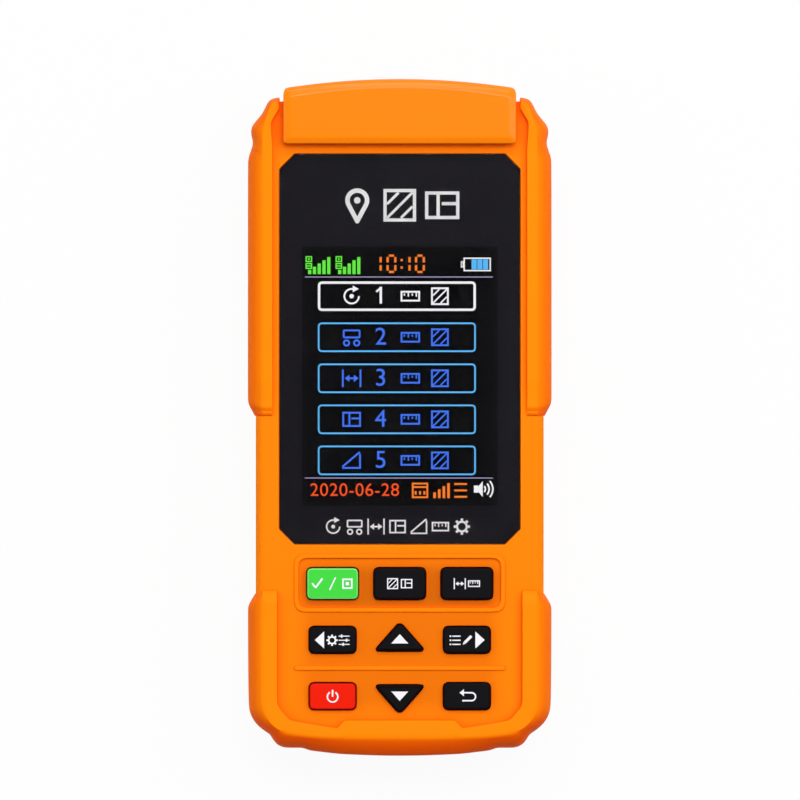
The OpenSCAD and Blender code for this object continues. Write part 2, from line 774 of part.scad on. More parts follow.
// Cap outline, drawn in by d
function cap_plan(d) = let (
    x = cap_w / 2 - d,
    y = top_y - d,
    arch_x = x - 2.5,
    rise = 0.82 * cap_bow,
    c = concat(
        run([[0, cap_foot_y + d], [x, cap_foot_y + d, 0.8], [x, y - cap_bow, 1], [arch_x, y - rise]]),
        arch(arch_x, y, -rise)
    )
) concat([for (k = [1:len(c) - 1]) c[k]], [for (k = [len(c) - 2:-1:1]) flip(c[k])]);

module antenna_cap() {
    mid = cap_round * (1 - cos(45));
    rings = [[0, cap_z], [0, cap_top_z - cap_round], [mid, cap_top_z - mid], [cap_round, cap_top_z]];
    color("orange") {
        difference() {
            sweep([for (r = rings) [for (p = cap_plan(r[0])) [p[0], p[1], r[1]]]]);
            box(-body_w, body_w, foot_y, case_top, 0, face_z);
            slab(cap_plan(cap_wall), cap_z + cap_wall, cap_top_z - cap_wall);
        }
        both_sides([peg_spot])
            post([0, 0], peg_r, face_under - clear, cap_top_z - cap_wall / 2);
    }
}

module display_lens() {
    color("white", 0.3)
        slab(lens_plan, lens_z, lens_z + lens_t);
}

// Sheet between an outline and the clear border of the picture
module view_frame(points, z0, z1) {
    difference() {
        slab(points, z0, z1);
        box(-view_w / 2 - view_gap, view_w / 2 + view_gap, view_bottom - view_gap, view_top + view_gap,
            z0 - past, z1 + past);
    }
}

module lens_mask() {
    color("black")
        view_frame(lens_plan, mask_z, lens_z);
}

module lens_tape() {
    color("gray")
        difference() {
            slab(inset(lens_plan, 4 * near), tape_z, mask_z);
            box(-panel_w / 2 - clear, panel_w / 2 + clear, panel_bottom - clear, panel_top + 2 * clear,
                tape_z - past, mask_z + past);
        }
}

module lcd_foam() {
    color("dimgray")
        view_frame(panel_plan, foam_z, mask_z);
}

module lcd_panel() {
    color("midnightblue")
        slab(panel_plan, panel_z, foam_z);
}

module lcd_backlight() {
    color("white")
        slab(panel_plan, backlight_z, panel_z);
}

module lcd_stand() {
    x = board_w / 2 - near;
    color("ivory")
        difference() {
            box(-x, x, panel_bottom, panel_top, board_top, backlight_z);
            box(-x + stand_w, x - stand_w, panel_bottom + stand_w, panel_top - stand_w,
                board_top - past, backlight_z + past);
        }
}

module lcd_flex() {
    x = flex_w / 2;
    fold_y = panel_top + flex_t;
    toe_l = 1.3;
    color("chocolate") {
        box(-x, x, panel_top, fold_y + flex_t, panel_z, panel_z + flex_t);
        box(-x, x, fold_y, fold_y + flex_t, board_top, panel_z + flex_t);
        box(-x, x, fold_y, fold_y + toe_l, board_top, board_top + flex_t);
    }
}

module key(k) {
    slab(key_plans[k], lip_z, key_z);
    slab(inset(key_plans[k], -key_lip), lip_z, lip_top);
    post(key_spots[k], plunger_r, plunger_z, lip_z + eps);
}

module key_confirm() { color("limegreen") key(0); }
module key_area() { color([0.1, 0.1, 0.12]) key(1); }
module key_distance() { color([0.1, 0.1, 0.12]) key(2); }
module key_left() { color([0.1, 0.1, 0.12]) key(3); }
module key_up() { color([0.1, 0.1, 0.12]) key(4); }
module key_right() { color([0.1, 0.1, 0.12]) key(5); }
module key_power() { color("orangered") key(6); }
module key_down() { color([0.1, 0.1, 0.12]) key(7); }
module key_back() { color([0.1, 0.1, 0.12]) key(8); }

module keypad_mat() {
    x = key_pitch + small_key_w / 2;
    color("gray")
        difference() {
            box(-x, x, row_y[2] - small_key_l / 2, row_y[0] + key_l / 2, board_top, board_top + mat_t);
            for (spot = key_spots)
                post(spot, dome_r + 4 * near, board_top - past, board_top + past);
            both_sides([board_spots[1]])
                post([0, 0], post_r + 4 * near, board_top - past, board_top + past);
            box(-socket_w / 2 - clear, socket_w / 2 + clear, foot_y, socket_y + socket_l + clear,
                board_top - past, board_top + past);
        }
}

module dome_switches() {
    color("silver")
        for (spot = key_spots)
            translate([spot[0], spot[1], board_top])
                rotate_extrude()
                    polygon([
                        [0, 0], [dome_r, 0], [0.7 * dome_r, 0.6 * dome_h], [0.35 * dome_r, dome_h], [0, dome_h]
                    ]);
}

// The board narrows between the bosses at both ends
module main_board() {
    x = board_w / 2;
    room = boss_r + 2 * clear;
    head_x = case_spots[0][0] - room;
    foot_x = case_spots[2][0] - room;
    head_y = case_spots[0][1] - room;
    neck_y = case_spots[2][1] + room;
    top_edge = case_top - wall - clear;
    end_y = socket_y + 0.3 * socket_l;
    cut = [9, 3.5];
    half = [
        [foot_x - cut[0], end_y], [foot_x, end_y + cut[1]], [foot_x, neck_y], [x, neck_y],
        [x, head_y], [head_x, head_y], [head_x, top_edge]
    ];
    color("darkgreen")
        difference() {
            slab(concat(half, [for (p = back(half)) flip(p)]), board_z, board_top);
            both_sides(board_spots)
                post([0, 0], board_screw_r + screw_gap, board_z - past, board_top + past);
        }
}

// Chip under the board, centred on a spot
module chip(spot, w, l, h) {
    box(spot[0] - w / 2, spot[0] + w / 2, spot[1] - l / 2, spot[1] + l / 2, board_z - h, board_z);
}

module processor_chip() { color("black") chip(processor_spot, processor_w, processor_w, chip_t); }
module memory_chip() { color("black") chip(memory_spot, memory_w, memory_l, chip_t); }
module gnss_module() { color("silver") chip([0, patch_y], gnss_w, gnss_l, gnss_t); }

module patch_antenna() {
    color("tan")
        box(-patch_w / 2, patch_w / 2, patch_y - patch_w / 2, patch_y + patch_w / 2,
            board_top, board_top + patch_t);
    color("silver")
        post([0, patch_y], 1, board_top + patch_t - eps, board_top + patch_t + 3 * near);
}

module buzzer() {
    color("black")
        difference() {
            post(buzzer_spot, buzzer_r, board_z - buzzer_h, board_z);
            post(buzzer_spot, 1, board_z - buzzer_h - past, board_z - buzzer_h + 1);
        }
}

module usb_socket() {
    shell_t = 0.35;
    color("silver")
        difference() {
            box(-socket_w / 2, socket_w / 2, socket_y, socket_y + socket_l, board_top, board_top + socket_h);
            box(-socket_w / 2 + shell_t, socket_w / 2 - shell_t, socket_y - past, socket_y + socket_l - 1,
                board_top + shell_t, board_top + socket_h - shell_t);
        }
}

module battery_pack() {
    color("steelblue")
        slab(block(pack_w, bay_y + pack_gap, bay_y + pack_gap + pack_l, 2), pack_z, pack_z + pack_t);
}

module battery_pins() {
    color("gold")
        for (k = [-1:1])
            translate([k * pin_pitch, pin_y, 0]) {
                post([0, 0], pin_r, bay_top + clear, board_z);
                post([0, 0], 0.6 * pin_r, pack_z + pack_t, board_z);
            }
}

module case_screws() {
    slot_x = 0.13 * head_r;
    color("dimgray")
        both_sides(case_spots)
            difference() {
                union() {
                    post([0, 0], head_r, head_depth - head_h, head_depth);
                    post([0, 0], screw_r, head_depth - eps, insert_z + insert_l);
                }
                for (turn = [0, 90])
                    rotate([0, 0, turn])
                        box(-head_r, head_r, -slot_x, slot_x, 0, head_depth - 0.55 * head_h);
            }
}

module case_inserts() {
    color("goldenrod")
        both_sides(case_spots)
            difference() {
                post([0, 0], insert_r, insert_z, insert_z + insert_l);
                post([0, 0], screw_r + screw_gap / 2, insert_z - past, insert_z + insert_l + past);
            }
}

module board_screws() {
    color("silver")
        both_sides(board_spots) {
            post([0, 0], board_head_r, board_z - head_h, board_z);
            post([0, 0], board_screw_r, board_z - eps, board_top + board_grip);
        }
}

front_shell();
rear_shell();
shell_seal();
antenna_cap();
guard_left();
guard_right();
guard_bottom();
battery_door();
port_cover();
display_lens();
lens_mask();
lens_tape();
lcd_foam();
lcd_panel();
lcd_backlight();
lcd_stand();
lcd_flex();
key_confirm();
key_area();
key_distance();
key_left();
key_up();
key_right();
key_power();
key_down();
key_back();
keypad_mat();
dome_switches();
main_board();
processor_chip();
memory_chip();
gnss_module();
patch_antenna();
buzzer();
usb_socket();
battery_pack();
battery_pins();
case_screws();
case_inserts();
board_screws();
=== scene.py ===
import json
import math

import bpy
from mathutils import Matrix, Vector
from mathutils.geometry import interpolate_bezier

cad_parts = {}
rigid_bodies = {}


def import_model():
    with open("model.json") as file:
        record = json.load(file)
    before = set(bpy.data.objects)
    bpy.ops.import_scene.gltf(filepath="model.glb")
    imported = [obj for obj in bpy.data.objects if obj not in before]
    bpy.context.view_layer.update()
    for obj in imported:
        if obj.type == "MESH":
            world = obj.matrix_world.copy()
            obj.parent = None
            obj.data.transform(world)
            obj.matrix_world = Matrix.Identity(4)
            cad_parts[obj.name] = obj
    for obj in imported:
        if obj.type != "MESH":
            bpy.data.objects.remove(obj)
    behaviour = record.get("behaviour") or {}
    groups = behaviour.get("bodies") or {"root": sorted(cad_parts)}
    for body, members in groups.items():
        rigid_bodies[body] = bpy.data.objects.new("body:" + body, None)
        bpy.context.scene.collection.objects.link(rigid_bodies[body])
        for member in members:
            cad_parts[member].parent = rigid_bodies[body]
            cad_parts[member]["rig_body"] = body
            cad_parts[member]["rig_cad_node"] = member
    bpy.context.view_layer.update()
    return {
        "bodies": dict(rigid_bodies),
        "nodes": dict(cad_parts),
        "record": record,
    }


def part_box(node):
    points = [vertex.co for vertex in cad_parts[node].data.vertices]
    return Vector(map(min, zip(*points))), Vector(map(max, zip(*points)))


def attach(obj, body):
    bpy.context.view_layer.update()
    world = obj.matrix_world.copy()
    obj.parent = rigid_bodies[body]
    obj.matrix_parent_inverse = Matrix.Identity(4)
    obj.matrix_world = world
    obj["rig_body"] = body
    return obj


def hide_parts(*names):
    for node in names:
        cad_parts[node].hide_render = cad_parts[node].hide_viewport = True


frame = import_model()
mm = 0.001
hair = 0.001 * mm  # a difference too small to see
print("frame:", len(frame["nodes"]), "nodes")


# Modelling helpers

meshForm = {
    "weld": 0.002 * mm,  # points closer than this become one
    "flat": 0.5,  # degrees between faces that become one
    "sameLevel": 0.02 * mm,
    "hardEdge": 30,  # degrees at an edge that is rounded
    "edgeSteps": 2,
    "rimSteps": 4,
    "smoothUnder": 35,  # degrees between faces that are shaded as one
}


def dashed(node):
    return node.replace("_", "-")


def shutMesh():
    bpy.ops.object.mode_set(mode="OBJECT")


def openWhole():  # opens the active mesh with all of it selected
    bpy.ops.object.mode_set(mode="EDIT")
    bpy.ops.mesh.select_all(action="SELECT")


def onlyThis(piece):
    if bpy.context.object and bpy.context.object.mode != "OBJECT":
        shutMesh()
    bpy.ops.object.select_all(action="DESELECT")
    piece.select_set(True)
    bpy.context.view_layer.objects.active = piece


def castFrom(node, name):  # merged copy of a node, ready to be worked on
    onlyThis(frame["nodes"][node])
    bpy.ops.object.duplicate()
    piece = bpy.context.object
    piece.name = name
    bpy.ops.object.parent_clear(type="CLEAR_KEEP_TRANSFORM")
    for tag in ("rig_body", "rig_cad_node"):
        del piece[tag]
    bpy.ops.mesh.customdata_custom_splitnormals_clear()
    openWhole()
    bpy.ops.mesh.remove_doubles(threshold=meshForm["weld"])
    bpy.ops.mesh.dissolve_limited(angle_limit=math.radians(meshForm["flat"]))
    shutMesh()
    return piece


def editThese(piece, kind, test):  # opens the mesh with the vertices, edges or faces that pass selected
    onlyThis(piece)
    mesh = piece.data
    for part in (mesh.vertices, mesh.edges, mesh.polygons):
        part.foreach_set("select", [False] * len(part))
    for part in getattr(mesh, kind):
        part.select = test(part)
    bpy.context.tool_settings.mesh_select_mode = [kind == mode for mode in ("vertices", "edges", "polygons")]
    bpy.ops.object.mode_set(mode="EDIT")


def bevelChosen(width, segments):
    bpy.ops.mesh.bevel(offset=width, segments=segments, affect="EDGES", clamp_overlap=False)
    shutMesh()


def atLevel(piece, edge, level):  # both ends of an edge at one height
    heights = (piece.data.vertices[k].co.z for k in edge.vertices)
    return all(abs(height - level) < meshForm["sameLevel"] for height in heights)


def roundRim(piece, level, width):  # rounds the edges that lie at one height
    editThese(piece, "edges", lambda edge: atLevel(piece, edge, level))
    bevelChosen(width, meshForm["rimSteps"])


def applyModifier(piece, kind, **settings):
    onlyThis(piece)
    modifier = piece.modifiers.new(kind.title(), kind)
    for key, value in settings.items():
        setattr(modifier, key, value)
    bpy.ops.object.modifier_apply(modifier=modifier.name)


def softenEdges(piece, width, segments=meshForm["edgeSteps"], angle=meshForm["hardEdge"]):
    applyModifier(piece, "BEVEL", width=width, segments=segments, limit_method="ANGLE",
                  angle_limit=math.radians(angle), use_clamp_overlap=False)


def combine(piece, tool, operation):
    applyModifier(piece, "BOOLEAN", object=tool, operation=operation, solver="EXACT")
    bpy.data.objects.remove(tool)


def cutAway(piece, tool):
    combine(piece, tool, "DIFFERENCE")


def joinTo(piece, tool):
    combine(piece, tool, "UNION")


def settle(piece, body, slot, material, nodes=()):
    onlyThis(piece)
    bpy.ops.object.shade_smooth_by_angle(angle=math.radians(meshForm["smoothUnder"]))
    applyModifier(piece, "WEIGHTED_NORMAL", keep_sharp=True)  # broad faces stay flat beside round edges
    piece.data.materials.clear()
    piece.data.materials.append(material)
    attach(piece, body)
    if nodes:
        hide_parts(*nodes)


# Shader helpers

class Wire:
    def __init__(self, tree, out=None):
        self.tree = tree
        self.out = out

    def add(self, kind, settings=None, inputs=None, give=0):  # any node, its settings first
        node = self.tree.nodes.new("ShaderNode" + kind)
        for key, value in (settings or {}).items():
            setattr(node, key, value)
        self.feed(node, inputs or {})
        return Wire(self.tree, node.outputs[give])

    def feed(self, node, inputs):
        for key, value in inputs.items():
            if isinstance(value, Wire):
                self.tree.links.new(value.out, node.inputs[key])
            else:
                node.inputs[key].default_value = value

    def calc(self, operation, first, second):
        return self.add("Math", {"operation": operation}, {0: first, 1: second})

    def __add__(self, other):
        return self.calc("ADD", self, other)

    def __radd__(self, other):
        return self.calc("ADD", other, self)

    def __rsub__(self, other):
        return self.calc("SUBTRACT", other, self)

    def __mul__(self, other):
        return self.calc("MULTIPLY", self, other)

    def blend(self, dark, light):  # colour between two, by this value
        return self.add("Mix", {"data_type": "RGBA"}, {0: self, 6: dark, 7: light}, give=2)


def newMaterial(name):
    material = bpy.data.materials.new(name)
    material.use_nodes = True
    tree = material.node_tree
    wire = Wire(tree)
    place = wire.add("TexCoord", give="Object")
    return material, tree.nodes["Principled BSDF"], wire, place


def paint(red, green, blue):  # a colour as picked on a screen, 0 to 255
    return (*(((part / 255 + 0.055) / 1.055) ** 2.4 for part in (red, green, blue)), 1)


def tone(colour, share):
    return (*(min(1, part * share) for part in colour[:3]), 1)


def noise(wire, place, size, detail=2.0):  # size of a grain in metres
    return wire.add("TexNoise", inputs={"Vector": place, "Scale": 1 / size, "Detail": detail})


def ramp(wire, value, start, end, ease="SMOOTHSTEP"):  # from 0 to 1 between two values
    return wire.add("MapRange", {"interpolation_type": ease},
                    {"Value": value, "From Min": start, "From Max": end})


plasticForm = {
    "bumpDepth": 0.02 * mm,
    "broadShare": 0.7,  # of the broad patches in the colour, the rest is grain
    "uneven": (-0.06, 0.08, 0.04),  # added to the roughness: a start, the grain and the patches
    "cornerReach": 4 * mm,  # how near a wall has to be to make a corner of painted shade
    "cornerSamples": 8,
    "cornerSpan": (0.35, 0.95),  # share of open view, from the painted corner shade to the plain colour
    "coatRoughness": 0.16,
}


def moulded(name, colour, roughness, grain=0.3 * mm, strength=0.25, patch=14 * mm, shift=0.04, shine=0.3,
            gloss=0.0, deep=None, paintedLightByFacing=(), zone=None):
    form = plasticForm
    material, shader, wire, place = newMaterial(name)
    fine = noise(wire, place, grain)
    broad = noise(wire, place, patch)
    bump = wire.add("Bump", inputs={"Height": fine, "Strength": strength, "Distance": form["bumpDepth"]})
    mottle = broad * form["broadShare"] + fine * (1 - form["broadShare"])
    surface = mottle.blend(tone(colour, 1 - shift), tone(colour, 1 + shift))
    for axis, plain, full, other in paintedLightByFacing:  # painted highlight and shade: another colour on faces that lean one way
        facing = wire.add("SeparateXYZ", inputs={0: wire.add("TexCoord", give="Normal")}, give=axis)
        surface = ramp(wire, facing, plain, full, "LINEAR").blend(surface, other)
    if zone:  # painted shade over a stretch of the face
        surface = keypadShade(wire, place, surface, zone)
    if deep:  # painted shade in corners and recesses, redder and darker
        free = wire.add("AmbientOcclusion", {"samples": form["cornerSamples"]},
                        {"Distance": form["cornerReach"]}, give="AO")
        surface = ramp(wire, free, *form["cornerSpan"], "LINEAR").blend(deep, surface)
    start, grainShare, patchShare = form["uneven"]
    wire.feed(shader, {
        "Base Color": surface,
        "Roughness": roughness + start + fine * grainShare + broad * patchShare,
        "Specular IOR Level": shine,
        "Coat Weight": gloss,
        "Coat Roughness": form["coatRoughness"],
        "Normal": bump,
    })
    return material


def keypadShade(wire, place, surface, zone):  # painted shade round the keys, darker still on the sunk floor of the top row
    across, along, up = (wire.add("SeparateXYZ", inputs={0: place}, give=axis) for axis in "XYZ")
    soft, face = zone["soft"], zone["face"]
    wide = ramp(wire, wire.calc("ABSOLUTE", across, 0), zone["half"] + soft, zone["half"] - soft)
    below = ramp(wire, along, zone["top"] + soft, zone["top"] - soft)
    above = ramp(wire, along, zone["foot"] - soft, zone["foot"] + soft)
    front = ramp(wire, up, *(face - depth for depth in zone["depths"]))
    beads = ramp(wire, up, *(face + height for height in zone["beads"]))
    sunk = ramp(wire, up, face, face - zone["sink"])
    inside = wide * below * above * front * (1 - beads)
    return (inside * sunk).blend(inside.blend(surface, zone["shade"]), zone["floor"])


metalForm = {
    "stretch": (1, 14, 14),
    "detail": 4.0,
    "tones": (0.9, 1.06),
    "uneven": (-0.08, 0.16),  # added to the roughness: a start and the streaks
    "bump": {"Strength": 0.08, "Distance": 0.01 * mm},
}


def metal(name, colour, roughness, grain):
    form = metalForm
    material, shader, wire, place = newMaterial(name)
    drawn = wire.add("Mapping", inputs={"Vector": place, "Scale": form["stretch"]})
    streak = noise(wire, drawn, grain, form["detail"])
    start, streakShare = form["uneven"]
    wire.feed(shader, {
        "Base Color": streak.blend(*(tone(colour, share) for share in form["tones"])),
        "Roughness": roughness + start + streak * streakShare,
        "Metallic": 1,
        "Normal": wire.add("Bump", inputs={"Height": streak, **form["bump"]}),
    })
    return material


lensLook = {"smudge": 9 * mm, "roughness": (0.02, 0.03), "bending": 1.45}


def clearLens():
    material, shader, wire, place = newMaterial("clearLens")
    smudge = noise(wire, place, lensLook["smudge"])
    clean, smeared = lensLook["roughness"]
    wire.feed(shader, {
        "Base Color": (1, 1, 1, 1),
        "Roughness": clean + smudge * smeared,
        "IOR": lensLook["bending"],
        "Transmission Weight": 1,
    })
    return material


dotForm = {"size": 0.4 * mm, "tones": (0.92, 1.08)}


def litInk(name, colour):  # lit dots of the panel
    material, shader, wire, place = newMaterial(name)
    dots = noise(wire, place, dotForm["size"])
    wire.feed(shader, {
        "Base Color": (0, 0, 0, 1),
        "Roughness": 0.5,
        "Specular IOR Level": 0,
        "Emission Color": dots.blend(*(tone(colour, share) for share in dotForm["tones"])),
        "Emission Strength": 1,
    })
    return material


silicone = {"grain": 0.2 * mm, "strength": 0.15, "shine": 0.05}
# the second colour here is painted shade for corners and recesses
orange = {"shine": 0.02, "deep": paint(253, 103, 4)}
keypadShadeZone = {
    "half": 22 * mm,
    "top": -33.5 * mm,
    "foot": -66 * mm,
    "soft": 3 * mm,
    "face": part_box("display_lens")[1].z + 0.3 * mm,
    "sink": 0.2 * mm,  # face down to the floor of the top row
    "beads": (0.2 * mm, 0.4 * mm),  # heights over the face between which the shade ends
    "depths": (1.6 * mm, 1.2 * mm),  # depths under the face between which it starts, clear of the back
    # painted shade round the keys, and a darker painted shade on the sunk floor of the top row
    "shade": paint(233, 115, 8),
    "floor": paint(208, 102, 8),
}
finishes = {
    "orange_plastic": moulded("orangeShell", paint(250, 130, 8), 0.5, zone=keypadShadeZone, **orange),
    # painted shade: redder flanks, and redder still on faces turned to the foot end
    "orange_guard": moulded("orangeGuard", paint(253, 136, 8), 0.48, grain=0.25 * mm, strength=0.2, paintedLightByFacing=[
        ("Z", 0.98, 0.6, paint(252, 116, 1)), ("Y", -0.15, -0.6, paint(250, 92, 0))], **orange),
    # painted highlight on the rounded rim of the top, painted shade on the sides down in the gap
    "key_green": moulded("greenSilicone", paint(66, 210, 66), 0.45, paintedLightByFacing=[
        ("Z", 0.99, 0.86, paint(150, 250, 140)), ("Z", 0.8, 0.55, paint(22, 58, 24))], **silicone),
    "key_black": moulded("blackSilicone", paint(12, 11, 15), 0.5, **silicone),
    # painted shade on the sides down in the gap
    "key_red": moulded("redSilicone", paint(232, 28, 0), 0.5, paintedLightByFacing=[
        ("Z", 0.85, 0.5, paint(118, 8, 2))], **silicone),
    "grey_rubber": moulded("greyRubber", paint(52, 52, 54), 0.62),
    "foam_grey": moulded("greyFoam", paint(105, 105, 108), 0.8, grain=0.5 * mm, strength=0.6),
    "white_plastic": moulded("lightGuide", paint(230, 230, 227), 0.35),
    "flex_amber": moulded("flexFilm", paint(173, 115, 48), 0.28),
    "board_green": moulded("solderMask", paint(39, 111, 70), 0.32, patch=4 * mm, shift=0.2),
    "chip_black": moulded("chipEpoxy", paint(39, 39, 41), 0.55),
    "antenna_ceramic": moulded("firedCeramic", paint(199, 176, 143), 0.5),
    "pack_wrap": moulded("packWrap", paint(63, 111, 173), 0.3),
    "lens_print": moulded("blackPrint", paint(24, 22, 30), 0.4, strength=0.05, shine=0.06),
    "lcd_glass": moulded("panelGlass", paint(6, 5, 10), 0.4, strength=0.03, shine=0.03),
    "lens_clear": clearLens(),
    "tin_can": metal("tinnedCan", paint(204, 204, 201), 0.34, 2 * mm),
    "gold_pin": metal("goldPin", paint(230, 199, 129), 0.25, 1 * mm),
    "screw_steel": metal("zincScrew", paint(170, 170, 173), 0.36, 1 * mm),
    "insert_brass": metal("turnedBrass", paint(228, 198, 134), 0.3, 1 * mm),
}
glossyOrange = moulded("glossyOrange", paint(250, 129, 2), 0.5, gloss=0.22, **orange)  # the cap
for row in frame["record"]["subparts"]:
    node = frame["nodes"][row["node"]]
    node.data.materials.clear()
    node.data.materials.append(finishes[row["material_slot"]])
print("finishes:", len(finishes))


# Guards: a skin lofted through plan lines, from the waist to the horn or round the bottom end

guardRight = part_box("guard_right")
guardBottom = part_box("guard_bottom")
side = guardRight[1].x / mm
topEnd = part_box("antenna_cap")[1].y / mm
footEnd = guardBottom[0].y / mm
horn = guardRight[0].x / mm
guardForm = {
    "faceZ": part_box("display_lens")[1].z + 0.4 * mm,
    "railZ": guardRight[1].z,
    "hemZ": guardRight[0].z,
    "shoulderDrop": 1.43 * mm,  # rail down to the bend in the flank
    "edgeDrop": (5.1 * mm, 3.6 * mm),  # rail down to the outer edge, at the sides and over the port
    "dropSpan": (14, 26),  # where along the bottom end one turns into the other
    "hemRise": 4 * mm,  # lower edge up to where the hem starts
    "shoulderShare": 0.62,  # place of the bend between rail and edge
    "seatShare": 0.2,  # place of the seat between rail and lip
    "hemShare": 0.55,  # place of the hem's foot between edge and seat
    "creases": (1, 0.5, 0.55, 0.12, 0.52, 0.35, 0.5, 1, 1),  # of each long line, lip first
    "endCrease": 0.55,
    "upperRunOut": (0.1, 0.3, 0.55, 0.85),  # share of the rail's height at the first corners
    "footRunOut": (0.35,),
    "endReach": 0.9,  # upper rail's first rise, and how far the lower rail runs past its flank
    "footBow": 12,  # reach of the rounding in the middle of the bottom end
    "armShare": 0.75,  # most that a rounding takes of the stretch beside it
    "pull": 2 / 3,  # of a rounding towards its corner
    "smoothing": 2,
}
cornerSteps = 4
railOut = side - 3.35
railIn = side - 5.65
footLip = side - 6.75
endReach = guardForm["endReach"]

# Corners are (x, y, reach of the rounding) in millimetres, with the same stations on each line
waistTop = guardRight[0].y / mm
upperLines = {
    "lip": [(railIn, waistTop, 0), (railIn, waistTop + endReach, 0.15), (railIn, waistTop + 2.95, 1),
            (railIn, waistTop + 9, 1), (railIn, topEnd - 19, 2.2), (railIn, topEnd - 14.85, 1.6),
            (railIn + 0.3, topEnd - 11.6, 1.2), (railIn + 0.35, topEnd - 9.7, 0.7),
            (horn + 0.1, topEnd - 6.95, 0.4), (horn, topEnd - 6.2, 0)],
    "rail": [(railOut, waistTop, 0), (railOut, waistTop + endReach, 0.15), (railOut, waistTop + 2.95, 1),
             (railOut, waistTop + 9, 1), (railOut, topEnd - 19, 2.2), (railOut, topEnd - 14.85, 1.6),
             (railOut - 0.1, topEnd - 11.4, 1.6), (railOut - 1.1, topEnd - 7.8, 1.2),
             (railOut - 2.2, topEnd - 5.2, 0.8), (horn, topEnd - 4.95, 0)],
    "edge": [(side - 1.6, waistTop, 0), (side - 1.1, waistTop + endReach, 0.15), (side, waistTop + 2.95, 1),
             (side, waistTop + 9, 1), (side, topEnd - 17.2, 2.2), (side - 1.4, topEnd - 14.85, 1.6),
             (side - 0.35, topEnd - 11.15, 1.8), (side - 3.3, topEnd - 7.75, 1.2),
             (side - 4.9, topEnd - 4.35, 1.4), (horn, topEnd - 4.1, 0)],
}
waistFoot = guardBottom[1].y / mm
footLines = {
    "lip": [(footLip, waistFoot + endReach, 0), (footLip, waistFoot - 2.7, 1),
            (footLip, footEnd + 11.65, 1.2), (24.8, footEnd + 8.35, 0.8), (22.3, footEnd + 7.93, 0.8),
            (19, footEnd + 7.38, 0.8), (16.8, footEnd + 7.01, 0.6), (14.1, footEnd + 6.55, 0.4),
            (12.5, footEnd + 8.4, 0.5)],
    "rail": [(railOut, waistFoot + endReach, 0), (railOut, waistFoot - 2.7, 1), (railOut, footEnd + 9.9, 3),
             (28.8, footEnd + 7, 1.2), (25.9, footEnd + 5.3, 1.2), (21.1, footEnd + 4.6, 0.8),
             (18.6, footEnd + 4.43, 0.8), (15, footEnd + 4.33, 0.6), (12.9, footEnd + 4.3, 0.6)],
    "edge": [(side - 1.6, waistFoot, 0), (side, waistFoot - 2.7, 1), (side - 0.1, footEnd + 8, 4.6),
             (side - 5.1, footEnd + 5, 0.8), (side - 6.6, footEnd + 1.9, 3), (22.05, footEnd + 2, 0.8),
             (20.4, footEnd + 1.36, 0.8), (15.4, footEnd + 0.77, 0.6), (13.2, footEnd + 0.56, 0.6)],
}
footMiddles = {"lip": footEnd + 8.4, "rail": footEnd + 4.2, "edge": footEnd - 0.08}


def rounded(corners):  # plan line with its corners rounded
    points = [Vector(corners[0][:2])]
    for before, corner, after in zip(corners, corners[1:], corners[2:]):
        middle = Vector(corner[:2])
        arms = [Vector(other[:2]) - middle for other in (before, after)]
        reach = min(corner[2], *(guardForm["armShare"] * arm.length for arm in arms))
        start, end = (middle + reach * arm.normalized() for arm in arms)
        pulls = (spot.lerp(middle, guardForm["pull"]) for spot in (start, end))
        points += interpolate_bezier(start, *pulls, end, cornerSteps + 1)
    return points + [Vector(corners[-1][:2])]


def guardSection(lip, rail, edge, lift=1):  # from the foot of the lip round the outside to the seat
    form = guardForm
    shoulder = rail.lerp(edge, form["shoulderShare"])
    seat = rail.lerp(lip, form["seatShare"])
    hemFoot = edge.lerp(seat, form["hemShare"])
    railZ, faceZ, hemZ = form["railZ"], form["faceZ"], form["hemZ"]
    topZ = faceZ + lift * (railZ - faceZ)
    start, end = form["dropSpan"]
    sideShare = min(1, max(0, (abs(edge.x) - start) / (end - start)))
    sideDrop, footDrop = form["edgeDrop"]
    edgeZ = railZ - footDrop - sideShare * (sideDrop - footDrop)
    heights = (faceZ, topZ, topZ, topZ - form["shoulderDrop"], edgeZ,
               hemZ + form["hemRise"], hemZ, hemZ, faceZ)
    plan = (lip, lip, rail, shoulder, edge, edge, hemFoot, seat, seat)
    return [(spot.x * mm, spot.y * mm, height) for spot, height in zip(plan, heights)]


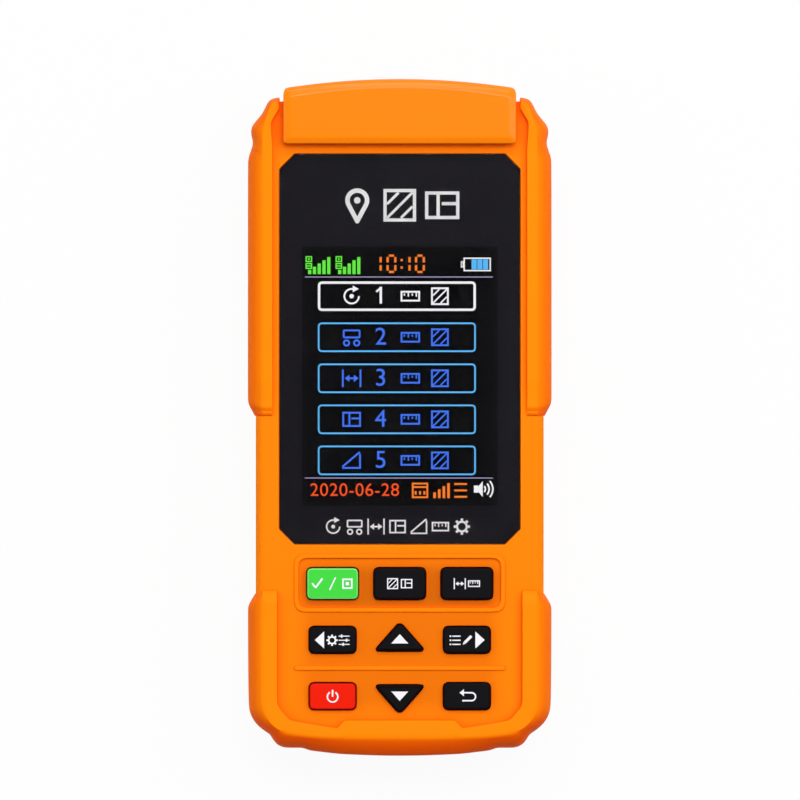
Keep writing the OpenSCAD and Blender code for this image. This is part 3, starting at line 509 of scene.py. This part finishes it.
def makeGuard(node, lines, runOut, bothEnds=False, hand=1):
    stations = list(zip(*(rounded(lines[key]) for key in ("lip", "rail", "edge"))))
    lifts = [1] * len(stations)
    for corner, lift in enumerate(runOut):
        last = corner * (cornerSteps + 1)
        for k in range(max(0, last - cornerSteps), last + 1):
            lifts[k] = lift
            if bothEnds:
                lifts[-1 - k] = lift
    rows = [guardSection(*station, lift) for station, lift in zip(stations, lifts)]
    wide = len(rows[0])
    points = [(hand * x, y, z) for row in rows for x, y, z in row]
    faces = [(i * wide + j, (i + 1) * wide + j, (i + 1) * wide + (j + 1) % wide, i * wide + (j + 1) % wide)
             for i in range(len(rows) - 1) for j in range(wide)]
    last = len(points) - wide
    faces += [tuple(range(wide)), tuple(range(last, last + wide))]
    name = dashed(node) + "-skin"
    mesh = bpy.data.meshes.new(name)
    mesh.from_pydata(points, [], faces)
    guard = bpy.data.objects.new(name, mesh)
    bpy.context.collection.objects.link(guard)
    onlyThis(guard)
    openWhole()
    bpy.ops.mesh.normals_make_consistent(inside=False)
    shutMesh()
    for column, crease in enumerate(guardForm["creases"]):
        editThese(guard, "edges", lambda edge: all(k % wide == column for k in edge.vertices))
        bpy.ops.transform.edge_crease(value=crease)
        shutMesh()
    ends = (0, len(rows) - 1)
    editThese(guard, "edges", lambda edge: any(all(k // wide == end for k in edge.vertices) for end in ends))
    bpy.ops.transform.edge_crease(value=guardForm["endCrease"])
    shutMesh()
    applyModifier(guard, "SUBSURF", levels=guardForm["smoothing"], render_levels=guardForm["smoothing"])
    return guard


def acrossFoot(key):  # the right half of a line, its middle and its left half
    right = footLines[key]
    middle = (0, footMiddles[key], guardForm["footBow"])
    return right + [middle] + [(-x, y, reach) for x, y, reach in reversed(right)]


portForm = {
    "width": 11.5 * mm,
    "height": 6 * mm,
    "depth": 8 * mm,
    "round": 0.8 * mm,
    "roundSteps": 5,
    "cutRoom": 2 * mm,  # how far outside the guard the cuts start
    "coverGap": 0.3 * mm,
    "coverDepth": 1.3 * mm,
    "coverRound": 1 * mm,
    "coverEdge": 0.25 * mm,
    "coverFoot": 0.4,  # lower end of the plate, as a share of the pivot's radius
    "thumbBar": (3.2 * mm, 0.45 * mm, 0.25 * mm),  # half its width and height, and how far it stands out
    "thumbDrop": 1.9 * mm,
    "thumbRound": 0.4 * mm,
    "thumbEdge": 0.12 * mm,
    "lug": (5.15 * mm, 0.9 * mm, 1.5 * mm),  # half its width, and its distance from the port's foot and head
    "lugRound": 0.6 * mm,
    "lugEdge": 0.15 * mm,
    "pivotLength": 1.2 * mm,
    "pivotGap": 0.08 * mm,
    "pivotSlack": 0.01 * mm,
    "pivotSides": 32,
}


def roundBlock(low, high, width):  # block with its edges along Y rounded
    bpy.ops.object.select_all(action="DESELECT")
    middle = [(a + b) / 2 for a, b in zip(low, high)]
    bpy.ops.mesh.primitive_cube_add(size=1, location=middle, scale=[b - a for a, b in zip(low, high)])
    bpy.ops.object.transform_apply(location=True, rotation=False, scale=True)
    block = bpy.context.object
    points = block.data.vertices

    def alongY(edge):
        start, end = (points[k].co for k in edge.vertices)
        return abs(start.x - end.x) < hair and abs(start.z - end.z) < hair

    editThese(block, "edges", alongY)
    bevelChosen(width, portForm["roundSteps"])
    return block


def cutPort(guard):  # the port's mouth, the cover's pocket and the bores of its hinge
    form = portForm
    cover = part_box("port_cover")
    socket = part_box("usb_socket")
    half = form["width"] / 2
    middle = (socket[0].z + socket[1].z) / 2
    front = footEnd * mm - form["cutRoom"]
    cutAway(guard, roundBlock((-half, front, middle - form["height"] / 2),
                              (half, front + form["depth"], middle + form["height"] / 2), form["round"]))
    gap = form["coverGap"]
    pocket = cover[1].x - form["pivotLength"] + gap
    back = cover[0].y + form["coverDepth"] + gap
    cutAway(guard, roundBlock((-pocket, front, cover[0].z - gap), (pocket, back, cover[1].z + gap),
                              form["round"]))
    cutAway(guard, pivotRod(form["pivotGap"], gap))


def pivotRod(grow, longer):  # rod on the cover's hinge
    low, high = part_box("port_cover")
    radius = portForm["coverDepth"] / 2
    bpy.ops.object.select_all(action="DESELECT")
    place = (0, low.y + radius, low.z + radius)
    bpy.ops.mesh.primitive_cylinder_add(vertices=portForm["pivotSides"], radius=radius + grow,
                                        depth=2 * (high.x + longer), location=place,
                                        rotation=(0, math.pi / 2, 0))
    bpy.ops.object.transform_apply(location=True, rotation=True, scale=True)
    return bpy.context.object


def makeCover():  # plate on its pivots, with a thumb bar outside and the lug inside
    form = portForm
    low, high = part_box("port_cover")
    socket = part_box("usb_socket")
    middle = (socket[0].z + socket[1].z) / 2
    radius = form["coverDepth"] / 2
    half = high.x - form["pivotLength"]
    foot = low.z + form["coverFoot"] * radius
    cover = roundBlock((-half, low.y, foot), (half, low.y + 2 * radius, high.z), form["coverRound"])
    cover.name = "port-cover-skin"
    softenEdges(cover, form["coverEdge"], segments=3)
    wide, tall, proud = form["thumbBar"]
    level = high.z - form["thumbDrop"]
    bar = roundBlock((-wide, low.y - proud, level - tall), (wide, low.y + radius, level + tall),
                     form["thumbRound"])
    softenEdges(bar, form["thumbEdge"])
    joinTo(cover, bar)
    lugHalf, lugFoot, lugHead = form["lug"]
    lug = roundBlock((-lugHalf, low.y + radius, middle - form["height"] / 2 + lugFoot),
                     (lugHalf, high.y, middle + form["height"] / 2 - lugHead), form["lugRound"])
    softenEdges(lug, form["lugEdge"])
    joinTo(cover, lug)
    joinTo(cover, pivotRod(-form["pivotSlack"], 0))
    settle(cover, "port_cover", "grey_rubber", finishes["grey_rubber"], ["port_cover"])


orangeGuard = ("casing", "orange_guard", finishes["orange_guard"])
for node, hand in (("guard_right", 1), ("guard_left", -1)):
    settle(makeGuard(node, upperLines, guardForm["upperRunOut"], hand=hand), *orangeGuard, [node])
wholeFoot = {key: acrossFoot(key) for key in footLines}
bottomSkin = makeGuard("guard_bottom", wholeFoot, guardForm["footRunOut"], bothEnds=True)
cutPort(bottomSkin)
settle(bottomSkin, *orangeGuard, ["guard_bottom"])
makeCover()
print("guards lofted")


# Shells, door and lens: the nodes with their edges broken

shellForm = {
    "round": {
        "front_shell": 0.2 * mm,
        "rear_shell": 0.2 * mm,
        "battery_door": 0.2 * mm,
        "display_lens": 0.05 * mm,
    },
    "rearRims": (0, 3 * mm),  # heights of the edges that are rounded on the rear shell
    "lensAir": 0.1 * mm,  # between the print and the lens
    "lensFoot": 0.2 * mm,  # what is lifted for it
    "waistRound": 0.55 * mm,
    "waistSteps": 4,
    "waistIn": 3.3,  # most that the long edges lie inside the outline, in millimetres
    "waistDrop": 3 * mm,  # and below the top of the shell
    "waistLength": 20 * mm,  # least length of these edges
}
slotOf = {row["node"]: row["material_slot"] for row in frame["record"]["subparts"]}


def breakEdges(piece, width, levels):  # rounds the hard edges that lie at some heights
    editThese(piece, "edges", lambda edge: False)
    bpy.ops.mesh.edges_select_sharp(sharpness=math.radians(meshForm["hardEdge"]))
    shutMesh()
    hard = [edge.select and any(atLevel(piece, edge, level) for level in levels) for edge in piece.data.edges]
    editThese(piece, "edges", lambda edge: hard[edge.index])
    bevelChosen(width, meshForm["edgeSteps"])


def roundWaist(piece, top):  # the long edges beside the window
    points = piece.data.vertices
    inner = (side - shellForm["waistIn"]) * mm
    lowest = top - shellForm["waistDrop"]

    def beside(edge):
        start, end = (points[k].co for k in edge.vertices)
        outside = all(abs(spot.x) > inner and spot.z > lowest for spot in (start, end))
        return outside and abs(start.y - end.y) > shellForm["waistLength"]

    editThese(piece, "edges", beside)
    bevelChosen(shellForm["waistRound"], shellForm["waistSteps"])


for node, width in shellForm["round"].items():
    shell = castFrom(node, dashed(node) + "-skin")
    low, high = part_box(node)
    if node == "front_shell":
        roundWaist(shell, high.z)
    if node == "rear_shell":
        breakEdges(shell, width, shellForm["rearRims"])
    else:
        softenEdges(shell, width)
    if node == "display_lens":
        editThese(shell, "vertices", lambda point: point.co.z < low.z + shellForm["lensFoot"])
        bpy.ops.transform.translate(value=(0, 0, shellForm["lensAir"]))
        shutMesh()
    body = node if node in frame["bodies"] else "casing"
    settle(shell, body, slotOf[node], finishes[slotOf[node]], [node])


# Antenna cap: its lower and side edges are tighter than the bowed top edge

capForm = {
    "tightening": (1.028, 1.064),
    "rimDrop": 0.7 * mm,
    "topDrop": 0.01 * mm,
    "round": 0.3 * mm,
    "roundSteps": 3,
    "hardEdge": 15,  # degrees
}


def makeCap():
    cap = castFrom("antenna_cap", "antenna-cap-skin")
    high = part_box("antenna_cap")[1]
    rim = [point.co for point in cap.data.vertices if point.co.z > high.z - capForm["topDrop"]]
    anchor = (0, max(spot.y for spot in rim), high.z)
    editThese(cap, "vertices", lambda point: point.co.z > high.z - capForm["rimDrop"])
    bpy.ops.transform.resize(value=(*capForm["tightening"], 1), center_override=anchor)
    shutMesh()
    softenEdges(cap, capForm["round"], capForm["roundSteps"], capForm["hardEdge"])
    settle(cap, "casing", "orange_plastic", glossyOrange, ["antenna_cap"])


makeCap()
print("case dressed")


# Flat marks: the key legends, the signs on the print and the lit picture

inkForm = {
    "discSides": 28,
    "arcSteps": 24,
    "cornerSteps": 4,
    "capHeight": 0.7,  # of a figure, as a share of the font's size
}


class Marks:
    def __init__(self, name, middle, level, unit=mm):  # drawn in units from a middle
        self.piece = bpy.data.objects.new(name, bpy.data.meshes.new(name))
        bpy.context.collection.objects.link(self.piece)
        self.middle = middle
        self.level = level
        self.unit = unit
        self.open()

    def open(self):
        onlyThis(self.piece)
        bpy.ops.object.mode_set(mode="EDIT")
        bpy.context.tool_settings.mesh_select_mode = (True, False, False)

    def at(self, x, y):
        return (self.middle[0] + x * self.unit, self.middle[1] + y * self.unit, self.level)

    def rise(self):  # each stroke lies a hair above the last, so that no two share a plane
        self.level += hair

    def scale(self, place, width, height):
        bpy.ops.transform.resize(value=(width * self.unit, height * self.unit, 1), center_override=place)

    def turn(self, place, angle):  # anticlockwise, in degrees
        if angle:
            bpy.ops.transform.rotate(value=-math.radians(angle), orient_axis="Z", center_override=place)

    def hollow(self, stroke):
        bpy.ops.mesh.inset(thickness=stroke * self.unit)
        bpy.ops.mesh.delete(type="FACE")

    def bar(self, x, y, width, height, angle=0):
        self.rise()
        place = self.at(x, y)
        bpy.ops.mesh.primitive_plane_add(size=1, location=place)
        self.scale(place, width, height)
        self.turn(place, angle)

    def line(self, start, end, stroke):
        across, along = end[0] - start[0], end[1] - start[1]
        self.bar((start[0] + end[0]) / 2, (start[1] + end[1]) / 2, math.hypot(across, along), stroke,
                 math.degrees(math.atan2(along, across)))

    def frame(self, x, y, width, height, stroke, corner=0):
        self.bar(x, y, width, height)
        if corner:
            bpy.ops.mesh.bevel(offset=corner * self.unit, segments=inkForm["cornerSteps"], affect="VERTICES")
        self.hollow(stroke)

    def wedge(self, x, y, width, height, angle=0):  # triangle that points up before its turn
        self.rise()
        place = self.at(x, y - height / 6)
        bpy.ops.mesh.primitive_circle_add(vertices=3, radius=1, fill_type="NGON", location=place)
        self.scale(place, width / math.sqrt(3), height / 1.5)
        self.turn(self.at(x, y), angle)

    def disc(self, x, y, radius):
        self.rise()
        bpy.ops.mesh.primitive_circle_add(vertices=inkForm["discSides"], radius=radius * self.unit,
                                          fill_type="NGON", location=self.at(x, y))

    def ring(self, x, y, radius, stroke):
        self.disc(x, y, radius)
        self.hollow(stroke)

    def arc(self, x, y, radius, stroke, start, sweep):  # a radial edge, spun
        self.rise()
        tip = self.at(x + radius, y)
        bpy.ops.mesh.primitive_plane_add(size=1, location=tip)
        self.scale(tip, stroke, 0)
        bpy.ops.mesh.remove_doubles(threshold=hair)
        self.turn(self.at(x, y), start)
        bpy.ops.mesh.spin(steps=inkForm["arcSteps"], angle=-math.radians(sweep), center=self.at(x, y),
                          axis=(0, 0, 1))

    def number(self, text, x, y, height, spread=1.0):
        self.rise()
        shutMesh()
        bpy.ops.object.select_all(action="DESELECT")
        bpy.ops.object.text_add(location=self.at(x, y))
        label = bpy.context.object
        label.data.body = text
        label.data.size = height * self.unit / inkForm["capHeight"]
        label.data.space_character = spread
        label.data.align_x = "CENTER"
        label.data.align_y = "CENTER"
        bpy.ops.object.convert(target="MESH")
        bpy.ops.object.transform_apply(location=True, rotation=True, scale=True)
        self.piece.select_set(True)
        bpy.context.view_layer.objects.active = self.piece
        bpy.ops.object.join()
        self.open()

    def finish(self, body, slot, material, thickness):
        shutMesh()
        editThese(self.piece, "polygons", lambda face: face.normal.z < 0)
        bpy.ops.mesh.flip_normals()
        shutMesh()
        applyModifier(self.piece, "SOLIDIFY", thickness=thickness, offset=1)
        settle(self.piece, body, slot, material)


# Signs about four units wide

thin = 0.4  # strokes
bold = 0.55


def loopSign(marks, x, y):
    marks.arc(x, y, 1.65, thin, 75, 285)
    marks.wedge(x + 0.95, y + 1.65, 1.5, 1.4, -90)
    marks.disc(x, y, 0.5)


def wheelSign(marks, x, y):
    marks.frame(x, y + 0.75, 4, 2, thin, 0.4)
    for shift in (-1.15, 1.15):
        marks.ring(x + shift, y - 1.3, 0.8, thin)


def widthSign(marks, x, y):
    for hand in (-1, 1):
        marks.bar(x + hand * 2, y, thin, 4)
        marks.wedge(x + hand * 1.05, y, 1.6, 1.1, -90 * hand)
    marks.bar(x, y, 1.1, thin)


def plotSign(marks, x, y):
    marks.frame(x, y, 4.2, 3.4, thin)
    marks.bar(x - 0.5, y, thin, 2.6)
    marks.bar(x + 1, y + 0.2, 2.1, thin)


def slopeSign(marks, x, y):
    marks.line((x - 2.1, y - 1.7), (x + 2.1, y - 1.7), thin)
    marks.line((x - 2.1, y - 1.45), (x + 1.85, y + 1.9), thin)
    marks.bar(x + 1.9, y, thin, 3)


def rulerSign(marks, x, y):
    marks.frame(x, y, 4.4, 2.4, thin)
    for k in range(4):
        marks.bar(x - 1.35 + 0.9 * k, y + 0.35, 0.3, 0.9 if k % 2 else 0.5)


def areaSign(marks, x, y):
    marks.frame(x, y, 4, 4, thin)
    for shift in (-0.85, 0, 0.85):
        reach = 1.55 - abs(shift)
        marks.line((x + shift - reach, y - shift - reach), (x + shift + reach, y - shift + reach), 0.32)


def gearSign(marks, x, y):
    marks.ring(x, y, 1.5, bold)
    for k in range(8):
        angle = math.radians(45 * k)
        marks.bar(x + 1.75 * math.cos(angle), y + 1.75 * math.sin(angle), 0.6, 0.65, 45 * k)


def sliderSign(marks, x, y):
    for k, shift in enumerate((-0.9, 0.9, -0.3)):
        level = y + 1.5 - 1.5 * k
        marks.bar(x, level, 4, 0.35)
        marks.bar(x + shift, level, 0.6, 1.1)


def listSign(marks, x, y):
    for level in (1.5, 0, -1.5):
        marks.bar(x - 1.7, y + level, 0.6, 0.6)
        marks.bar(x + 0.5, y + level, 3, 0.45)


def penSign(marks, x, y):
    marks.bar(x + 0.35, y + 0.35, 3.4, 1, 45)
    marks.wedge(x - 1.25, y - 1.25, 1, 1, 135)


def pinSign(marks, x, y):  # place on a map
    marks.arc(x, y + 0.6, 1.2, bold, -28, 236)
    marks.disc(x, y + 0.6, 0.4)
    for hand in (-1, 1):
        marks.line((x + hand * 1.06, y + 0.04), (x, y - 1.95), bold)
    marks.disc(x, y - 1.95, bold / 2)


def powerSign(marks, x, y):
    marks.arc(x, y, 1.9, bold, 122, 296)
    marks.bar(x, y + 1.3, 0.6, 2.5)


def backSign(marks, x, y):
    marks.wedge(x - 2.1, y + 1, 2.6, 1.6, 90)
    marks.bar(x + 0.1, y + 1, 2.8, bold)
    marks.arc(x + 1.5, y - 0.45, 1.45, bold, -90, 180)
    marks.bar(x - 0.2, y - 1.9, 3.4, bold)


# Keys and their legends

keyForm = {"topRound": 0.45 * mm, "ink": 0.04 * mm, "signUnit": 0.62 * mm, "arrow": (6.2, 3.4)}
legends = {
    "key_area": [(areaSign, -2.6, 0), (plotSign, 2.5, 0)],
    "key_distance": [(widthSign, -2.6, 0), (rulerSign, 2.6, 0)],
    "key_left": [(gearSign, -0.2, -0.1), (sliderSign, 4.2, -0.1)],
    "key_right": [(listSign, -4.3, -0.1), (penSign, 0.1, -0.1)],
    "key_power": [(powerSign, 0, -0.2)],
    "key_back": [(backSign, 0.2, 0.3)],
}
arrows = {  # place, and the turn from upright in quarters
    "key_left": (-4.8, 0, 1),
    "key_right": (4.8, 0, -1),
    "key_up": (0, -0.45, 0),
    "key_down": (0, 0.9, 2),
}


def confirmLegend(marks):
    marks.line((-7.5, 0.1), (-6.1, -1.5), 0.65)
    marks.line((-6.25, -1.5), (-3.7, 1.9), 0.65)
    marks.line((-1.1, -2.3), (1.1, 2.3), 0.5)
    marks.frame(5.4, 0, 3.8, 3.8, 0.6)
    marks.bar(5.4, 0, 1.2, 1.2)


def makeKey(node):
    keyCap = castFrom(node, dashed(node) + "-cap")
    low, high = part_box(node)
    roundRim(keyCap, high.z, keyForm["topRound"])
    settle(keyCap, node, slotOf[node], finishes[slotOf[node]], [node])
    middle = ((low.x + high.x) / 2, (low.y + high.y) / 2)
    marks = Marks(dashed(node) + "-legend", middle, high.z, keyForm["signUnit"])
    for sign, x, y in legends.get(node, ()):
        sign(marks, x, y)
    if node in arrows:
        x, y, quarter = arrows[node]
        marks.wedge(x, y, *keyForm["arrow"], 90 * quarter)
    if node == "key_confirm":
        confirmLegend(marks)
    marks.finish(node, "white_plastic", whiteInk, keyForm["ink"])


whiteInk = moulded("whiteInk", paint(236, 236, 242), 0.5, grain=0.15 * mm, strength=0.1, shine=0.2)
for node in frame["bodies"]:
    if node.startswith("key_"):
        makeKey(node)
print("keys dressed")


# White signs on the print, above and below the picture

whitePrint = moulded("whitePrint", paint(255, 255, 255), 0.5, strength=0.05, shift=0, shine=0.2)
printForm = {
    "level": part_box("lens_mask")[1].z,
    "ink": 0.05 * mm,
    "rows": {  # middle, unit and pitch of each row
        "head": ((0, 48.2 * mm), 1.85 * mm, 5.2, (pinSign, areaSign, plotSign)),
        "foot": ((-0.5 * mm, -24.6 * mm), 0.9 * mm, 5.4,
                 (loopSign, wheelSign, widthSign, plotSign, slopeSign, rulerSign, gearSign)),
    },
}
for row, (middle, unit, pitch, signs) in printForm["rows"].items():
    marks = Marks("print-" + row, middle, printForm["level"], unit)
    for k, sign in enumerate(signs):
        sign(marks, (k - (len(signs) - 1) / 2) * pitch, 0)
    marks.finish("casing", "white_plastic", whitePrint, printForm["ink"])
print("print signed")


# Screen picture: status line, five boxes and a date line

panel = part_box("lcd_panel")
screen = {
    "middle": (0, 9.5 * mm),
    "level": panel[1].z + 0.01 * mm,
    "ink": 0.04 * mm,
    "rowTop": 18.1,
    "rowPitch": 9.3,
    "box": (-0.65, 35.8, 6.7),  # middle, width, height
    "boxStrokes": {"chosen": 0.55, "other": 0.37},
    "boxCorner": 0.9,
    "figureHeight": 3.9,
    "cells": (-10.9, -4.3, 2.4, 9.1),
    "statusY": 25.3,
    "dateY": -25.9,
    "ruleYs": (22.45, -23.1),  # the lines between status, boxes and date
    "rule": (-0.2, 42.6, 0.2),  # middle, length, stroke
}
inks = {
    "white": paint(246, 246, 252),
    "green": paint(104, 236, 70),
    "orange": paint(255, 128, 42),
    "red": paint(246, 84, 34),
    "sky": paint(92, 186, 255),
    "blue": paint(66, 118, 244),
    "lilac": paint(170, 160, 205),
}
sheets = {name: Marks("screen-" + name, screen["middle"], screen["level"]) for name in inks}


def onSheet(name):  # opens the sheet of one ink
    sheets[name].open()
    return sheets[name]


signal = {
    "starts": (-20.4, -13.6),
    "base": 23.1,
    "pitch": 1.08,
    "bars": (0.75, 0.95, 0.73),  # width, height of the first and growth
    "tagShift": -0.2,  # from the first bar
    "tag": (1.5, 1.35, 0.28),  # width, height, stroke
    "tags": {26.5: (0.4, 0.4), 24.95: (0.94, 0.25)},  # height on the screen, and the bar inside
}


def drawSignal(x):  # five rising bars and two tags
    marks = onSheet("green")
    width, first, growth = signal["bars"]
    for k in range(5):
        height = first + growth * k
        marks.bar(x + signal["pitch"] * k, signal["base"] + height / 2, width, height)
    for y, inner in signal["tags"].items():
        marks.frame(x + signal["tagShift"], y, *signal["tag"])
        marks.bar(x + signal["tagShift"], y, *inner)


clock = {
    "width": 1.75,
    "height": 3.7,
    "stroke": 0.5,
    "gap": 0.1,  # between two segments
    "y": 25.45,
    "cells": {-5.2: "1", -1.87: "0", 1.35: "1", 4.58: "0"},
    "colon": (0.45, 0.85, 0.5),  # place, distance of its dots from the middle and their size
}
segments = {"0": "abcdef", "1": "bc"}


def drawClock():
    marks = onSheet("orange")
    halfWide, halfTall = clock["width"] / 2, clock["height"] / 2
    stroke, gap, y = clock["stroke"], clock["gap"], clock["y"]
    spots = {"a": (0, halfTall), "b": (halfWide, halfTall / 2), "c": (halfWide, -halfTall / 2),
             "d": (0, -halfTall), "e": (-halfWide, -halfTall / 2), "f": (-halfWide, halfTall / 2)}
    for x, digit in clock["cells"].items():
        for letter in segments[digit]:
            across, along = spots[letter]
            lying = letter in "ad"
            size = (clock["width"] - stroke - gap, stroke) if lying else (stroke, halfTall - stroke - gap)
            marks.bar(x + across, y + along, *size)
    x, shift, dot = clock["colon"]
    for hand in (-1, 1):
        marks.bar(x, y + hand * shift, dot, dot)


def drawBattery():
    marks = onSheet("white")
    y = screen["statusY"]
    marks.frame(17.55, y, 6.2, 3.1, 0.3)
    marks.frame(14.15, y, 0.6, 1.4, 0.2)
    marks = onSheet("sky")
    for k in range(3):
        marks.bar(16.85 + 1.3 * k, y, 1.16, 2.3)


def drawRow(k):
    y = screen["rowTop"] - screen["rowPitch"] * k
    x, width, height = screen["box"]
    chosen = k == 0
    stroke = screen["boxStrokes"]["chosen" if chosen else "other"]
    onSheet("white" if chosen else "sky").frame(x, y, width, height, stroke, screen["boxCorner"])
    marks = onSheet("white" if chosen else "blue")
    first, second, third, fourth = screen["cells"]
    (loopSign, wheelSign, widthSign, plotSign, slopeSign)[k](marks, first, y)
    marks.number(str(k + 1), second, y, screen["figureHeight"])
    if chosen:
        marks.line((second - 1, y + 1), (second - 0.15, y + 1.75), 0.45)  # flag of the figure 1
    rulerSign(marks, third, y)
    areaSign(marks, fourth, y)


def drawDate():
    y = screen["dateY"]
    marks = onSheet("red")
    marks.number("2020-06-28", -10.2, y, 2.9, 1.06)
    marks = onSheet("orange")
    marks.frame(4.6, y, 3.7, 3.5, 0.4)
    marks.bar(4.6, y + 0.75, 2.9, 0.4)
    for k in range(3):
        marks.bar(3.6 + k, y - 0.55, 0.45, 0.8)
    for k in range(4):
        marks.bar(7.9 + 1.05 * k, y - 1.75 + (1.3 + 0.7 * k) / 2, 0.6, 1.3 + 0.7 * k)
    for level in (1.45, 0, -1.45):
        marks.bar(13.8, y + level, 2.9, 0.42)


def drawSpeaker():
    marks = onSheet("white")
    x, y = 17.3, -25.6
    marks.bar(x, y, 1, 1.6)
    marks.wedge(x + 0.75, y, 3.6, 1.5, 90)
    for radius in (1.0, 1.85, 2.7):
        marks.arc(x + 1.1, y, radius, 0.36, -42, 84)


for y in screen["ruleYs"]:
    x, length, stroke = screen["rule"]
    onSheet("lilac").bar(x, y, length, stroke)
for x in signal["starts"]:
    drawSignal(x)
drawClock()
drawBattery()
for k in range(5):
    drawRow(k)
drawDate()
drawSpeaker()
for name in sheets:
    onSheet(name).finish("casing", "lcd_glass", litInk("lit-" + name, inks[name]), screen["ink"])
print("screen drawn")


# Stage: floor, lamps, camera

stage = {
    "floorSize": 16.0,
    "floorDrop": 0.01 * mm,
    "floorTone": 0.75,
    "whiteShare": 0.95,  # how much of the floor's white is its own
    "horizon": 0.5,  # light from the world low down, half way up and overhead
    "sky": 0.4,
    "ceiling": 0.04,
    "lowBand": (0.1, 0.5),  # where the first turns into the second, and the second into the third
    "highBand": (0.75, 0.97),
    "warmth": (1, 0.74, 0.5, 1),  # colour of the light that comes in low
    "footShare": 0.47,  # light from the foot end against that from the top end
    "aim": (0, 0, 0.02),
    "lamps": {  # place, size, power
        "topLamp": ((0.15, 0.4, 1.4), (1.0, 0.5), 13),
        "backLamp": ((0.1, 1.0, 1.0), (1.2, 0.14), 5),
        "rightLamp": ((0.8, 0.25, 0.8), (0.5, 0.5), 3),
        "leftLamp": ((-0.9, 0.1, 0.5), (0.6, 0.6), 1.8),
    },
}
view = {"centre": (0.06 * mm, 4.08 * mm), "height": 4, "span": 181.2 * mm, "level": 25.5 * mm, "far": 20}


def makeFloor():
    bpy.ops.object.select_all(action="DESELECT")
    bpy.ops.mesh.primitive_plane_add(size=stage["floorSize"], location=(0, 0, -stage["floorDrop"]))
    floor = bpy.context.object
    floor.name = "floor"
    material, shader, wire = newMaterial("paleFloor")[:3]
    grey = stage["floorTone"]
    wire.feed(shader, {"Base Color": (grey, grey, grey, 1), "Roughness": 0.8})
    sight = wire.add("LightPath", give="Is Camera Ray")
    gloss = wire.add("LightPath", give="Is Glossy Ray")
    through = wire.add("LightPath", give="Is Transmission Ray")
    seen = wire.calc("MAXIMUM", wire.calc("MAXIMUM", sight, gloss), through)
    white = wire.add("Emission", inputs={"Color": (1, 1, 1, 1), "Strength": 1})
    dull = Wire(wire.tree, shader.outputs[0])
    both = wire.add("MixShader", inputs={0: seen * stage["whiteShare"], 1: dull, 2: white})
    wire.feed(wire.tree.nodes["Material Output"], {"Surface": both})
    floor.data.materials.append(material)


def makeWorld():
    world = bpy.data.worlds.new("studio")
    bpy.context.scene.world = world
    world.use_nodes = True
    wire = Wire(world.node_tree)
    direction = wire.add("TexCoord", give="Generated")
    height = wire.add("SeparateXYZ", inputs={0: direction}, give="Z")
    along = wire.add("SeparateXYZ", inputs={0: direction}, give="Y")
    rise = ramp(wire, height, *stage["lowBand"])
    close = ramp(wire, height, *stage["highBand"])
    share = (1 + stage["footShare"]) / 2 + along * ((1 - stage["footShare"]) / 2)
    level = stage["horizon"] + rise * (stage["sky"] - stage["horizon"])
    level = level + close * (stage["ceiling"] - stage["sky"])
    colour = rise.blend(stage["warmth"], (1, 1, 1, 1))
    wire.feed(world.node_tree.nodes["Background"], {"Color": colour, "Strength": level * share})


def makeLamp(name, place, size, power):
    bpy.ops.object.light_add(type="AREA", location=place)
    lamp = bpy.context.object
    lamp.name = name
    lamp.rotation_euler = (Vector(stage["aim"]) - Vector(place)).to_track_quat("-Z", "Y").to_euler()
    lamp.data.shape = "RECTANGLE"
    lamp.data.size, lamp.data.size_y = size
    lamp.data.energy = power


def makeCamera():
    bpy.ops.object.camera_add(location=(*view["centre"], view["height"]), rotation=(0, 0, 0))
    camera = bpy.context.object
    camera.name = "camera"
    camera.data.lens = camera.data.sensor_width * (view["height"] - view["level"]) / view["span"]
    camera.data.clip_end = view["far"]
    bpy.context.scene.camera = camera


makeFloor()
makeWorld()
for name, settings in stage["lamps"].items():
    makeLamp(name, *settings)
makeCamera()
bpy.context.scene.view_settings.view_transform = "Standard"
print("stage ready")
